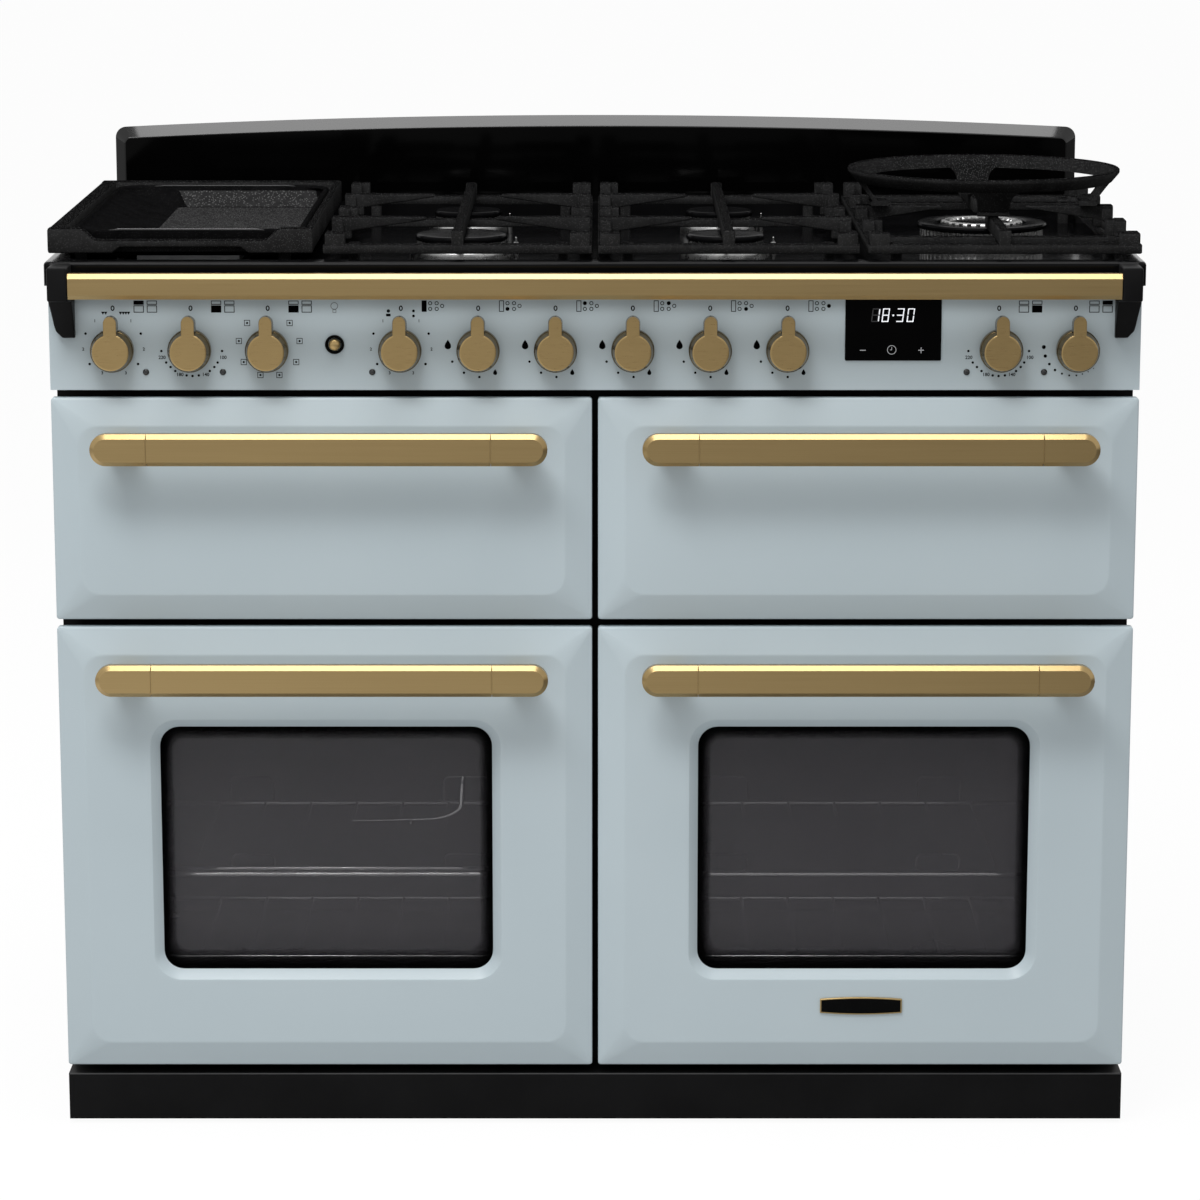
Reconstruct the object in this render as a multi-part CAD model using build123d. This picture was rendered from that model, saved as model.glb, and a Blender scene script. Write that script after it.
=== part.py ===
from build123d import *
import os

# Dual fuel range cooker in millimetres. X runs across, Y runs back from the viewer, Z is up.
# The origin lies on the floor at the middle of the outline.

# Overall size
hob_width = 1092
hob_depth = 608
handle_reach = 40
hob_overhang = 2
sheet = 2
running_clearance = 0.05
seat_gap = 0.3

# Heights of the front, from the floor up
plinth_lift = 5
plinth_height = 49
plinth_gap = 9.5
lower_door_height = 462
door_gap = 8
upper_door_height = 226
panel_height = 106.5
hob_rim = 24

# Doors
door_setback = 19
door_space = 50
centre_gap = 6
door_crown = 10
door_bevel = 27
crown_radius = 20
door_edge_radius = 3
door_skin = 1.6
door_return = 10
door_lip = 46
liner_depth = 32
liner_margin = 14
window_width = 337
window_height = 255
window_radius = 20
window_bevel = 9
window_collar = 16
glass_lap = 10
glass_thickness = 4

# Door hinges
hinge_setback = 20
drop_hinge_rise = 30
side_hinge_inset = 20
hinge_clear = 10
pin_radius = 4
lug_radius = 8
lug_thickness = 8
arm_thickness = 5
arm_half = 6
arm_gap = 1

# Handles and towel rail
handle_length = 453
handle_height = 32
handle_thickness = 14
handle_block = 56
handle_chamfer = 4.5
handle_drop = 44
post_width = 30
post_height = 20
rail_inset = 28.5
rail_height = 25.3
rail_lift = 7.3
bracket_thickness = 20
bracket_leg = 51
bracket_foot = 12
bracket_gap = 1
bracket_drop = 1
bracket_edge = 2

# Control panel
knob_end = 63.5
knob_steps = {"grill": 0, "left_oven": 1, "left_function": 2, "griddle": 3.72, "front_left": 4.73,
              "rear_left": 5.73, "rear_centre": 6.73, "front_centre": 7.73, "wok": 8.73,
              "right_oven": 11.49, "slow_oven": 12.48}
gas_names = ["front_left", "rear_left", "rear_centre", "front_centre", "wok"]
knob_rise = 41
knob_gap = 4.5
knob_depth = 22
knob_flange = 11
knob_flange_radius = 21.5
knob_drum_radius = 21
knob_face_radius = 17.3
lever_length = 36
lever_width = 15
lever_thickness = 11
spindle_radius = 4
spindle_reach = 20
spindle_grip = 10
button_step = 2.87
button_rise = 46
button_radius = 6
button_reach = 6
button_stem = 12
button_round = 2
bezel_radius = 9.5
bezel_depth = 3
timer_step = 10.11
timer_rise = 29.7
timer_width = 96
timer_height = 65
timer_depth = 1.5

# Gas rail behind the panel
tap_size = 22
tap_length = 30
tap_bore = 27
gas_rail_radius = 8
gas_rail_setback = 4
gas_pipe_radius = 3
gas_bend = 8
gas_pipe_drop = 22

# Ovens
oven_width = 450
mouth_margin = 14
oven_depth = 430
upper_depth = 420
liner_wall = 1.6
seal_width = 9
seal_inset = 2
ladder_offset = 12
ladder_bars = 5
wire_radius = 3
rod_radius = 2
shelf_rods = 9
shelf_heights = [38, 148]
slow_shelf_height = 52
shelf_front = 30
shelf_depth = 300
shelf_clear = 4
baffle_size = 300
baffle_gap = 40
baffle_eye = 55
baffle_post = 5
fan_radius = 68
fan_blades = 8
fan_blade_depth = 24
fan_blade_length = 34
fan_blade_inset = 2
fan_shaft = 4
shaft_grip = 28
motor_radius = 38
motor_length = 56
ring_radius = 92
element_radius = 4
element_tail = 3
element_spread = 12
element_bend = 12
grill_drop = 18
grill_legs = 6
grill_turn_inset = 36
pan_width = 400
pan_depth = 330
pan_height = 42
pan_flange = 18
pan_wall = 2
pan_rise = 60
pan_start = 3
runner_height = 6

# Hob
hob_recess = 14
recess_side = 22
recess_front = 22
recess_back = 62
hob_corner = 8
hob_edge = 4
grate_lift = 5
grate_height = 25
grate_bar = 12
grate_rail = 14
grate_front_inset = 31
grate_depth = 475
grate_side_inset = 1
griddle_width = 264
right_support_width = 273
support_gap = 6
griddle_gap = 10
wok_gap = 8
finger_height = 16
finger_root = 14
finger_tip = 7
finger_nose = 4
finger_gap = 36
wok_finger_gap = 44
crossbar_reach = 163
spine_width = 10
crown_block = 22
grate_leg = 12
grate_leg_inset = 24
burner_pitch = 112
burner_sizes = {"front_left": 47, "rear_left": 36, "rear_centre": 36, "front_centre": 40}
burner_base = 14
burner_crown = 5
cap_thickness = 6
cap_chamfer = 2
cap_overhang = 3
wok_radius = 66
wok_inner = 24
wok_ring_width = 20
cradle_radius = 140
cradle_height = 37
cradle_base = 100
cradle_foot = 20
cradle_wall = 5
cradle_band = 12
cradle_slot = 74
griddle_rail = 16
griddle_corner = 34
griddle_slope = 12
griddle_dip = 12
griddle_slot = 120
griddle_slot_height = 6
griddle_ledge = 7
griddle_clear = 4
griddle_base = 6
griddle_lip = 16
griddle_hang = 12
griddle_hang_inset = 14
griddle_far_slope = 50
griddle_near_slope = 26
griddle_wall = 4
griddle_round = 8
hotplate_inset = 40
griddle_element_inset = 80
hotplate_height = 10

# Splashback
splash_inset = 7.5
splash_height = 82
splash_bow = 13
splash_depth = 39
splash_bevel = 10
splash_corner = 14
splash_wall = 2

# Body and floor
frame_tail = 24
frame_rise = 22
back_inset = 4
foot_side = 64
foot_inset = 62
foot_radius = 22
foot_pad = 10
stud_radius = 6
base_thickness = 3
roller_side = 104
roller_inset = 70
roller_radius = 22
roller_width = 26
axle_radius = 5
fork_thickness = 4
fork_half = 12
fork_gap = 1

# Places that follow from the sizes
front = -(hob_depth + handle_reach) / 2
back = -front
hob_front = front + handle_reach
door_y = hob_front + door_setback
face_y = door_y - door_crown
frame_y = door_y + door_space
liner_front = door_y + door_return
liner_rear = liner_front + liner_depth
body_width = hob_width - 2 * hob_overhang
body_half = body_width / 2
inner_half = body_half - sheet
plinth_top = plinth_lift + plinth_height
lower_bottom = plinth_top + plinth_gap
lower_top = lower_bottom + lower_door_height
upper_bottom = lower_top + door_gap
upper_top = upper_bottom + upper_door_height
panel_bottom = upper_top + door_gap
panel_top = panel_bottom + panel_height
hob_top = panel_top + hob_rim
hob_floor = hob_top - hob_recess
hob_under = hob_top - sheet
grate_bottom = hob_top + grate_lift
grate_top = grate_bottom + grate_height
grate_front = hob_front + grate_front_inset
grate_back = grate_front + grate_depth
grate_middle = (grate_front + grate_back) / 2
cavity_y = frame_y + sheet
base_bottom = plinth_top
base_top = base_bottom + base_thickness
frame_bottom = plinth_top - frame_tail
frame_top = panel_bottom + frame_rise
back_y = back - back_inset
knob_z = panel_bottom + knob_rise
knob_rear = door_y - knob_gap
knob_front = knob_rear - knob_depth
hinge_y = door_y + hinge_setback
knob_pitch = (body_width - 2 * knob_end) / max(knob_steps.values())
first_knob = knob_end - body_half
knob_x = {name: first_knob + step * knob_pitch for name, step in knob_steps.items()}
button_x = first_knob + button_step * knob_pitch
timer_x = first_knob + timer_step * knob_pitch
rail_half = hob_width / 2 - rail_inset
splash_width = hob_width - 2 * splash_inset
foot_place = body_half - foot_side
roller_place = body_half - roller_side

nodes = {}


def block(x, y, z):
    size = [b - a for a, b in (x, y, z)]
    middle = [(a + b) / 2 for a, b in (x, y, z)]
    return Pos(*middle) * Box(*size)


def mid(pair):
    return (pair[0] + pair[1]) / 2


def span(a, b):
    return (min(a, b), max(a, b))


def grown(pair, amount):
    return (pair[0] - amount, pair[1] + amount)


def front_plane(y):
    return Plane.XZ.offset(-y)


def along_x(sketch, x):
    return extrude(Plane.YZ.offset(x[0]) * sketch, x[1] - x[0], dir=(1, 0, 0))


def along_y(sketch, y0, y1):
    return extrude(front_plane(y1) * sketch, y1 - y0, dir=(0, -1, 0))


def along_z(sketch, z):
    return extrude(Plane.XY.offset(z[0]) * sketch, z[1] - z[0], dir=(0, 0, 1))


def rod(start, end, radius):
    run = Vector(*end) - Vector(*start)
    whole = (Align.CENTER, Align.CENTER, Align.MIN)
    return Plane(origin=start, z_dir=run) * Cylinder(radius, run.length, align=whole)


def tube(points, radius, bend):
    path = FilletPolyline(*points, radius=bend)
    return sweep(Plane(origin=path @ 0, z_dir=path % 0) * Circle(radius), path=path)


def fuse(pieces):
    whole = pieces[0]
    for piece in pieces[1:]:
        whole = whole + piece
    return whole


# Door openings in X and Z, as pairs of limits
left_x = (-body_half, -centre_gap / 2)
right_x = (centre_gap / 2, body_half)
upper_z = (upper_bottom, upper_top)
lower_z = (lower_bottom, lower_top)


def drop_liner(x, z):
    return grown(x, -liner_margin), (z[0] + drop_hinge_rise + hinge_clear, z[1] - liner_margin)


def side_liner(x, z):
    hinge_margin = side_hinge_inset + hinge_clear
    limits = (x[0] + hinge_margin, x[1] - liner_margin)
    if mid(x) > 0:
        limits = (x[0] + liner_margin, x[1] - hinge_margin)
    return limits, grown(z, -liner_margin)


def mouth(liner):
    middle = mid(liner[0])
    return (middle - oven_width / 2, middle + oven_width / 2), grown(liner[1], -mouth_margin)


def rounded(x, z, radius):
    return Pos(mid(x), mid(z)) * RectangleRounded(x[1] - x[0], z[1] - z[0], radius)


def window_sketch(x, z, grow):
    size = (window_width + 2 * grow, window_height + 2 * grow)
    return Pos(mid(x), mid(z)) * RectangleRounded(*size, window_radius + grow)


def pillow(x, z, inset, top):
    edge = rounded(grown(x, -inset), grown(z, -inset), door_edge_radius)
    crown = rounded(grown(x, -door_bevel), grown(z, -door_bevel), crown_radius)
    return loft([front_plane(door_y) * edge, front_plane(top) * crown])


def door_panel(x, z, window):
    rear = door_y + door_return
    shell = along_y(rounded(x, z, door_edge_radius), door_y, rear) + pillow(x, z, 0, face_y)
    inside = [grown(pair, -door_skin) for pair in (x, z)]
    hollow = along_y(rounded(*inside, door_edge_radius), door_y, rear - door_skin)
    hollow = hollow + pillow(x, z, door_skin, face_y + door_skin)
    if window:
        hollow = hollow - along_y(window_sketch(x, z, window_collar), face_y, door_y)
    throat = [grown(pair, -door_lip) for pair in (x, z)]
    shell = shell - hollow - along_y(rounded(*throat, crown_radius), rear - 2 * door_skin, rear)
    if window:
        throat_y = face_y + window_bevel
        edges = [front_plane(face_y) * window_sketch(x, z, window_bevel),
                 front_plane(throat_y) * window_sketch(x, z, 0)]
        shell = shell - loft(edges) - along_y(window_sketch(x, z, 0), throat_y, door_y)
    return shell


def door_tray(liner, window_of):
    x, z = liner
    inside = [grown(pair, -sheet) for pair in liner]
    tray = block(x, (liner_front, liner_rear), z)
    tray = tray - block(inside[0], (liner_front, liner_rear - sheet), inside[1])
    if window_of:
        tray = tray - along_y(window_sketch(*window_of, 0), liner_rear - sheet, liner_rear)
    return tray


def door_glass(x, z):
    pane = window_sketch(x, z, glass_lap)
    seat = liner_rear - sheet
    return [along_y(pane, door_y, door_y + glass_thickness), along_y(pane, seat - glass_thickness, seat)]


def door_handle(x, z):
    rise = z[1] - handle_drop
    rear = front + handle_thickness
    outline = Pos(mid(x), rise) * SlotOverall(handle_length, handle_height)
    bar = along_y(outline, front, rear)
    bar = chamfer(bar.faces().sort_by(Axis.Y)[0].edges(), handle_chamfer)
    joint = handle_length / 2 - handle_block
    pieces = [bar & block(grown((mid(x), mid(x)), joint), (front, rear), (0, hob_top))]
    for side in (-1, 1):
        limits = span(mid(x) + side * joint, mid(x) + side * handle_length / 2)
        end = bar & block(limits, (front, rear), (0, hob_top))
        post = Pos(mid(limits), rise) * SlotOverall(post_width, post_height)
        pieces.append(end + along_y(post, rear, face_y))
    return pieces


def drop_hinge(end, inward, height, liner_bottom):
    lug_x = span(end, end + inward * lug_thickness)
    arm_x = span(end - inward * arm_gap, end - inward * (arm_gap + arm_thickness))
    pin_x = span(mid(arm_x), end + inward * lug_thickness)
    here = Pos(hinge_y, height)
    drop = liner_bottom + sheet - height
    lug = here * Circle(lug_radius) + Pos(hinge_y, height + drop / 2) * Rectangle(2 * lug_radius, drop)
    lug = along_x(lug, lug_x) - along_x(here * Circle(pin_radius + running_clearance), lug_x)
    reach = frame_y - hinge_y
    arm = here * Circle(arm_half) + Pos(hinge_y + reach / 2, height) * Rectangle(reach, 2 * arm_half)
    return lug, along_x(arm, arm_x) + along_x(here * Circle(pin_radius), pin_x)


def side_hinge(end, inward, axis_x, liner_edge):
    lug_z = span(end, end + inward * lug_thickness)
    arm_z = span(end - inward * arm_gap, end - inward * (arm_gap + arm_thickness))
    pin_z = span(mid(arm_z), end + inward * lug_thickness)
    here = Pos(axis_x, hinge_y)
    run = span(axis_x, liner_edge + (sheet if liner_edge > axis_x else -sheet))
    lug = here * Circle(lug_radius) + Pos(mid(run), hinge_y) * Rectangle(run[1] - run[0], 2 * lug_radius)
    lug = along_z(lug, lug_z) - along_z(here * Circle(pin_radius + running_clearance), lug_z)
    reach = frame_y - hinge_y
    arm = here * Circle(arm_half) + Pos(axis_x, hinge_y + reach / 2) * Rectangle(2 * arm_half, reach)
    return lug, along_z(arm, arm_z) + along_z(here * Circle(pin_radius), pin_z)


# Four doors. The upper pair drops down and the lower pair swings on the outer edges.
hinge_arms = []
mouths = {}
for name, x in (("grill_door", left_x), ("slow_door", right_x)):
    liner = drop_liner(x, upper_z)
    tray = door_tray(liner, None)
    for end, inward in ((liner[0][0], 1), (liner[0][1], -1)):
        lug, arm = drop_hinge(end, inward, upper_bottom + drop_hinge_rise, liner[1][0])
        tray = tray + lug
        hinge_arms.append(arm)
    nodes[name + "_panel"] = [door_panel(x, upper_z, False)]
    nodes[name + "_liner"] = [tray]
    nodes[name + "_handle"] = door_handle(x, upper_z)
    mouths[name] = mouth(liner)

for name, x in (("left_oven_door", left_x), ("right_oven_door", right_x)):
    liner = side_liner(x, lower_z)
    tray = door_tray(liner, (x, lower_z))
    hinge_x = x[0] + side_hinge_inset if x == left_x else x[1] - side_hinge_inset
    hinge_edge = liner[0][0] if x == left_x else liner[0][1]
    for end, inward in ((liner[1][0], 1), (liner[1][1], -1)):
        lug, arm = side_hinge(end, inward, hinge_x, hinge_edge)
        tray = tray + lug
        hinge_arms.append(arm)
    nodes[name + "_panel"] = [door_panel(x, lower_z, True)]
    nodes[name + "_liner"] = [tray]
    nodes[name + "_glass"] = door_glass(x, lower_z)
    nodes[name + "_handle"] = door_handle(x, lower_z)
    mouths[name] = mouth(liner)


# Base, front frame and hinge arms
front_frame = block((-inner_half, inner_half), (frame_y, cavity_y), (frame_bottom, frame_top))
for x, z in mouths.values():
    front_frame = front_frame - block(x, (frame_y, cavity_y), z)
base = block((-inner_half, inner_half), (cavity_y, back_y - sheet), (base_bottom, base_top))
nodes["chassis_frame"] = [front_frame, base] + hinge_arms

side_sheets = []
for side in (-1, 1):
    x = span(side * inner_half, side * body_half)
    side_sheets.append(block(x, (frame_y, back_y), (frame_bottom, hob_under)))
back_sheet = block((-inner_half, inner_half), (back_y - sheet, back_y), (frame_bottom, hob_under))

# Kick plinth, open at the back
plinth_x = (-body_half, body_half)
plinth_z = (plinth_lift, plinth_top)
plinth_inside = block(grown(plinth_x, -sheet), (door_y + sheet, frame_y), grown(plinth_z, -sheet))
nodes["plinth"] = [block(plinth_x, (door_y, frame_y), plinth_z) - plinth_inside]

# Levelling feet in front, rollers behind
feet = []
for side in (-1, 1):
    foot_x, foot_y = side * foot_place, frame_y + foot_inset
    pad = rod((foot_x, foot_y, 0), (foot_x, foot_y, foot_pad), foot_radius)
    feet.append(pad + rod((foot_x, foot_y, foot_pad), (foot_x, foot_y, base_bottom), stud_radius))
roller_y = back - roller_inset
axle_at = Pos(roller_y, roller_radius)
wheels = [along_x(axle_at * Circle(axle_radius), (-roller_place, roller_place))]
for side in (-1, 1):
    wheels.append(along_x(axle_at * Circle(roller_radius),
                          span(side * roller_place, side * (roller_place - roller_width))))
    inner = side * (roller_place - roller_width - fork_gap)
    fork_x = span(inner, inner - side * fork_thickness)
    fork = block(fork_x, grown((roller_y, roller_y), fork_half), (roller_radius - fork_half, base_bottom))
    feet.append(fork - along_x(axle_at * Circle(axle_radius + running_clearance), fork_x))
nodes["floor_supports"] = feet
nodes["rear_rollers"] = [fuse(wheels)]


# Wire shelf: a bar across the front and the back, joined by thinner rods
def wire_shelf(x, level):
    y = (cavity_y + shelf_front, cavity_y + shelf_front + shelf_depth)
    first = x[0] + ladder_offset
    pitch = (x[1] - ladder_offset - first) / (shelf_rods - 1)
    bars = [rod((x[0], end, level), (x[1], end, level), wire_radius) for end in y]
    for n in range(shelf_rods):
        at = first + n * pitch
        bars.append(rod((at, y[0], level), (at, y[1], level), rod_radius))
    return fuse(bars)


# Oven cavities, open towards the doors
def cavity(limits, depth):
    x, z = limits
    outer = block(grown(x, liner_wall), (cavity_y, cavity_y + depth + liner_wall), grown(z, liner_wall))
    return outer - block(x, (cavity_y, cavity_y + depth), z)


oven_rear = cavity_y + oven_depth
oven_back = oven_rear + liner_wall
oven_doors = ("left_oven_door", "right_oven_door")
oven_cavities = []
fan_parts = []
elements = []
racks = []
for name, fan in zip(oven_doors, ("left_fan", "right_fan")):
    x, z = mouths[name]
    centre = (mid(x), mid(z))
    eye = Pos(*centre) * Circle(fan_shaft + running_clearance)
    oven_cavities.append(cavity(mouths[name], oven_depth) - along_y(eye, oven_rear, oven_back))

    # Fan cover plate on four posts, with a round eye
    cover_y = oven_rear - baffle_gap
    cover = Pos(*centre) * (RectangleRounded(baffle_size, baffle_size, crown_radius) - Circle(baffle_eye))
    cover = along_y(cover, cover_y - sheet, cover_y)
    post_place = baffle_size / 2 - crown_radius
    for px in (-post_place, post_place):
        for pz in (-post_place, post_place):
            post = Pos(centre[0] + px, centre[1] + pz) * Circle(baffle_post)
            cover = cover + along_y(post, cover_y, oven_rear)
    motor = along_y(Pos(*centre) * Circle(motor_radius), oven_back, oven_back + motor_length)
    fan_parts += [cover, motor - along_y(eye, oven_back, oven_back + shaft_grip)]

    # Fan wheel and shaft
    wheel_y = (oven_rear - fan_blade_depth - sheet - wire_radius, oven_rear - sheet - wire_radius)
    wheel = [along_y(Pos(*centre) * Circle(fan_radius), wheel_y[1] - sheet, wheel_y[1]),
             along_y(Pos(*centre) * Circle(fan_shaft), wheel_y[0], oven_back + shaft_grip - seat_gap)]
    vane_middle = fan_radius - fan_blade_inset - fan_blade_length / 2
    for blade in range(fan_blades):
        turn = Pos(*centre) * Rot(0, 0, 360 / fan_blades * blade)
        vane = turn * Pos(vane_middle, 0) * Rectangle(fan_blade_length, sheet)
        wheel.append(along_y(vane, wheel_y[0], wheel_y[1]))
    nodes[fan] = [fuse(wheel)]

    # Ring element round the fan, carried on two straight tails at the rear wall
    ring_y = mid(wheel_y)
    ring = front_plane(ring_y) * Pos(*centre, 0) * Torus(ring_radius, element_radius)
    for side in (-1, 1):
        tail = centre[0] + side * element_spread
        top = centre[1] + (ring_radius ** 2 - element_spread ** 2) ** 0.5
        ring = ring + rod((tail, ring_y, top), (tail, oven_rear, top), element_tail)
    elements.append(ring)

    # Side ladders against the walls, and shelves that rest on their bars
    shelf_y = (cavity_y + shelf_front, cavity_y + shelf_front + shelf_depth)
    bar_pitch = (shelf_heights[1] - shelf_heights[0]) / 2
    bar_heights = [z[0] + shelf_heights[0] + n * bar_pitch for n in range(ladder_bars)]
    for side, wall in ((1, x[0]), (-1, x[1])):
        rail_x = wall + side * ladder_offset
        ladder = []
        for end_y in (shelf_y[0] + ladder_offset, shelf_y[1] - ladder_offset):
            ladder.append(rod((rail_x, end_y, bar_heights[0] - ladder_offset),
                              (rail_x, end_y, bar_heights[-1] + ladder_offset), wire_radius))
            for stay_z in (bar_heights[0], bar_heights[-1]):
                ladder.append(rod((wall, end_y, stay_z), (rail_x, end_y, stay_z), rod_radius))
        for height in bar_heights:
            ladder.append(rod((rail_x, shelf_y[0], height), (rail_x, shelf_y[1], height), rod_radius))
        racks.append(fuse(ladder))
    for height in shelf_heights:
        level = z[0] + height + rod_radius + wire_radius
        racks.append(wire_shelf(grown(x, wire_radius - ladder_offset), level))

nodes["oven_liners"] = oven_cavities
nodes["fan_housings"] = fan_parts

# Grill chamber with runners, pan and element. The slow oven has one shelf and a warm pad below.
grill_x, grill_z = mouths["grill_door"]
slow_x, slow_z = mouths["slow_door"]
nodes["upper_liners"] = [cavity(mouths[name], upper_depth) for name in ("grill_door", "slow_door")]
upper_rear = cavity_y + upper_depth
pan_z = (grill_z[0] + pan_rise, grill_z[0] + pan_rise + pan_height)
pan_y = (cavity_y + pan_start, cavity_y + pan_start + pan_depth)
pan_x = grown((mid(grill_x), mid(grill_x)), pan_width / 2)
pan = block(pan_x, pan_y, pan_z)
pan = pan + block(grown(pan_x, pan_flange), pan_y, (pan_z[1] - pan_wall, pan_z[1]))
pan = pan - block(grown(pan_x, -pan_wall), grown(pan_y, -pan_wall), (pan_z[0] + pan_wall, pan_z[1]))
nodes["grill_pan"] = [pan]
runner_z = (pan_z[1] - pan_wall - seat_gap - runner_height, pan_z[1] - pan_wall - seat_gap)
for wall, edge in ((grill_x[0], pan_x[0] - seat_gap), (grill_x[1], pan_x[1] + seat_gap)):
    racks.append(block(span(wall, edge), (cavity_y, upper_rear), runner_z))
shelf_z = slow_z[0] + slow_shelf_height
for side, wall in ((1, slow_x[0]), (-1, slow_x[1])):
    racks.append(block(span(wall, wall + side * ladder_offset), (cavity_y, upper_rear),
                       (shelf_z - runner_height - wire_radius, shelf_z - wire_radius)))
racks.append(wire_shelf(grown(slow_x, -shelf_clear), shelf_z))
nodes["oven_racks"] = racks

# Grill element: a flat serpentine whose two ends go into the rear wall
grill_level = grill_z[1] - grill_drop
leg_pitch = pan_width / grill_legs
leg_x = [mid(grill_x) + (n - (grill_legs - 1) / 2) * leg_pitch for n in range(grill_legs)]
turn_y = grown(pan_y, -grill_turn_inset)
route = [(leg_x[0], upper_rear, grill_level)]
for n in range(grill_legs - 1):
    route.append((leg_x[n], turn_y[n % 2], grill_level))
    route.append((leg_x[n + 1], turn_y[n % 2], grill_level))
route.append((leg_x[-1], upper_rear, grill_level))
elements.append(tube(route, element_radius, element_bend))
pad_top = slow_z[0] - liner_wall
elements.append(block(grown(slow_x, -hotplate_inset), grown((cavity_y, upper_rear), -hotplate_inset),
                      (pad_top - hotplate_height, pad_top)))

# Soft seals on the front frame, just clear of the closed doors
seals = []
for x, z in mouths.values():
    seal_y = (liner_rear + seat_gap, frame_y)
    inner = (grown(x, seal_inset), grown(z, seal_inset))
    outer = (grown(x, seal_inset + seal_width), grown(z, seal_inset + seal_width))
    seals.append(block(outer[0], seal_y, outer[1]) - block(inner[0], seal_y, inner[1]))
nodes["door_seals"] = seals


# Hob tray: a skirted sheet with one long recess for the burners and the griddle
hob_x = (-hob_width / 2, hob_width / 2)
hob_y = (hob_front, back)
recess_x = grown(hob_x, -recess_side)
recess_y = (hob_front + recess_front, back - recess_back)
hob = block(hob_x, hob_y, (panel_top, hob_top))
hob = fillet(hob.edges().filter_by(Axis.Z), hob_corner)
hob = fillet(hob.faces().sort_by(Axis.Z)[-1].edges(), hob_edge)
hollow = block(grown(hob_x, -sheet), grown(hob_y, -sheet), (panel_top, hob_under))
hollow = hollow - block(grown(recess_x, sheet), grown(recess_y, sheet), (hob_floor - sheet, hob_under))
recess = along_z(Pos(mid(recess_x), mid(recess_y)) * RectangleRounded(
    recess_x[1] - recess_x[0], recess_y[1] - recess_y[0], crown_radius), (hob_floor, hob_top))
nodes["hob_tray"] = [hob - hollow - recess]


# Splashback with a bowed top and a bevel round its face
def splash_outline(inset):
    half = splash_width / 2 - inset
    end_z = hob_top + splash_height - inset
    with BuildSketch() as outline:
        with BuildLine():
            Line((-half, hob_top), (half, hob_top))
            Line((half, hob_top), (half, end_z))
            ThreePointArc((half, end_z), (0, end_z + splash_bow), (-half, end_z))
            Line((-half, end_z), (-half, hob_top))
        make_face()
        fillet(outline.vertices().group_by(Axis.Y)[-1], splash_corner)
    return outline.sketch


splash_y = (back - splash_depth, back)
bevel_y = splash_y[0] + splash_bevel
splash = along_y(splash_outline(0), bevel_y, splash_y[1])
splash = splash + loft([front_plane(bevel_y) * splash_outline(0),
                        front_plane(splash_y[0]) * splash_outline(splash_bevel)])
splash_inside = grown(splash_y, -splash_wall)
nodes["splashback"] = [splash - along_y(splash_outline(splash_bevel + splash_wall), *splash_inside)]


# Burners, from the left: two pairs of rings, then the wok burner
right_edge = hob_width / 2 - grate_side_inset
griddle_x = (-right_edge, -right_edge + griddle_width)
left_support_x = (griddle_x[1] + griddle_gap, -support_gap / 2)
right_support_x = (right_edge - right_support_width, right_edge)
centre_support_x = (support_gap / 2, right_support_x[0] - wok_gap)
rows = (grate_middle - burner_pitch, grate_middle + burner_pitch)
wok_x = right_edge - cradle_radius
left_x0, centre_x0 = mid(left_support_x), mid(centre_support_x)
burner_places = {"front_left": (left_x0, rows[0]), "rear_left": (left_x0, rows[1]),
                 "rear_centre": (centre_x0, rows[1]), "front_centre": (centre_x0, rows[0]),
                 "wok": (wok_x, grate_middle)}
crown_z = hob_floor + burner_base
cap_z = crown_z + burner_crown
bodies = []
caps = []
for name, radius in burner_sizes.items():
    x, y = burner_places[name]
    body = rod((x, y, hob_floor), (x, y, crown_z), radius + cap_thickness)
    bodies.append(body + rod((x, y, crown_z), (x, y, cap_z), radius - cap_overhang))
    cap = rod((x, y, cap_z), (x, y, cap_z + cap_thickness), radius)
    caps.append(chamfer(cap.faces().sort_by(Axis.Z)[-1].edges(), cap_chamfer))
x, y = burner_places["wok"]
wok_hole = wok_radius - wok_ring_width
wok_body = rod((x, y, hob_floor), (x, y, hob_floor + cap_thickness), wok_radius + cap_thickness)
wok_body = wok_body + rod((x, y, hob_floor), (x, y, cap_z), wok_radius - cap_overhang)
wok_body = wok_body - rod((x, y, hob_floor + cap_thickness), (x, y, cap_z), wok_hole)
bodies.append(wok_body + rod((x, y, hob_floor + cap_thickness), (x, y, cap_z), wok_inner))
wok_cap = rod((x, y, cap_z), (x, y, cap_z + cap_thickness), wok_radius)
caps.append(wok_cap - rod((x, y, cap_z), (x, y, cap_z + cap_thickness), wok_hole))
caps.append(rod((x, y, cap_z), (x, y, cap_z + cap_thickness), wok_inner + cap_thickness))
nodes["burner_bodies"] = bodies
nodes["burner_caps"] = caps


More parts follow.
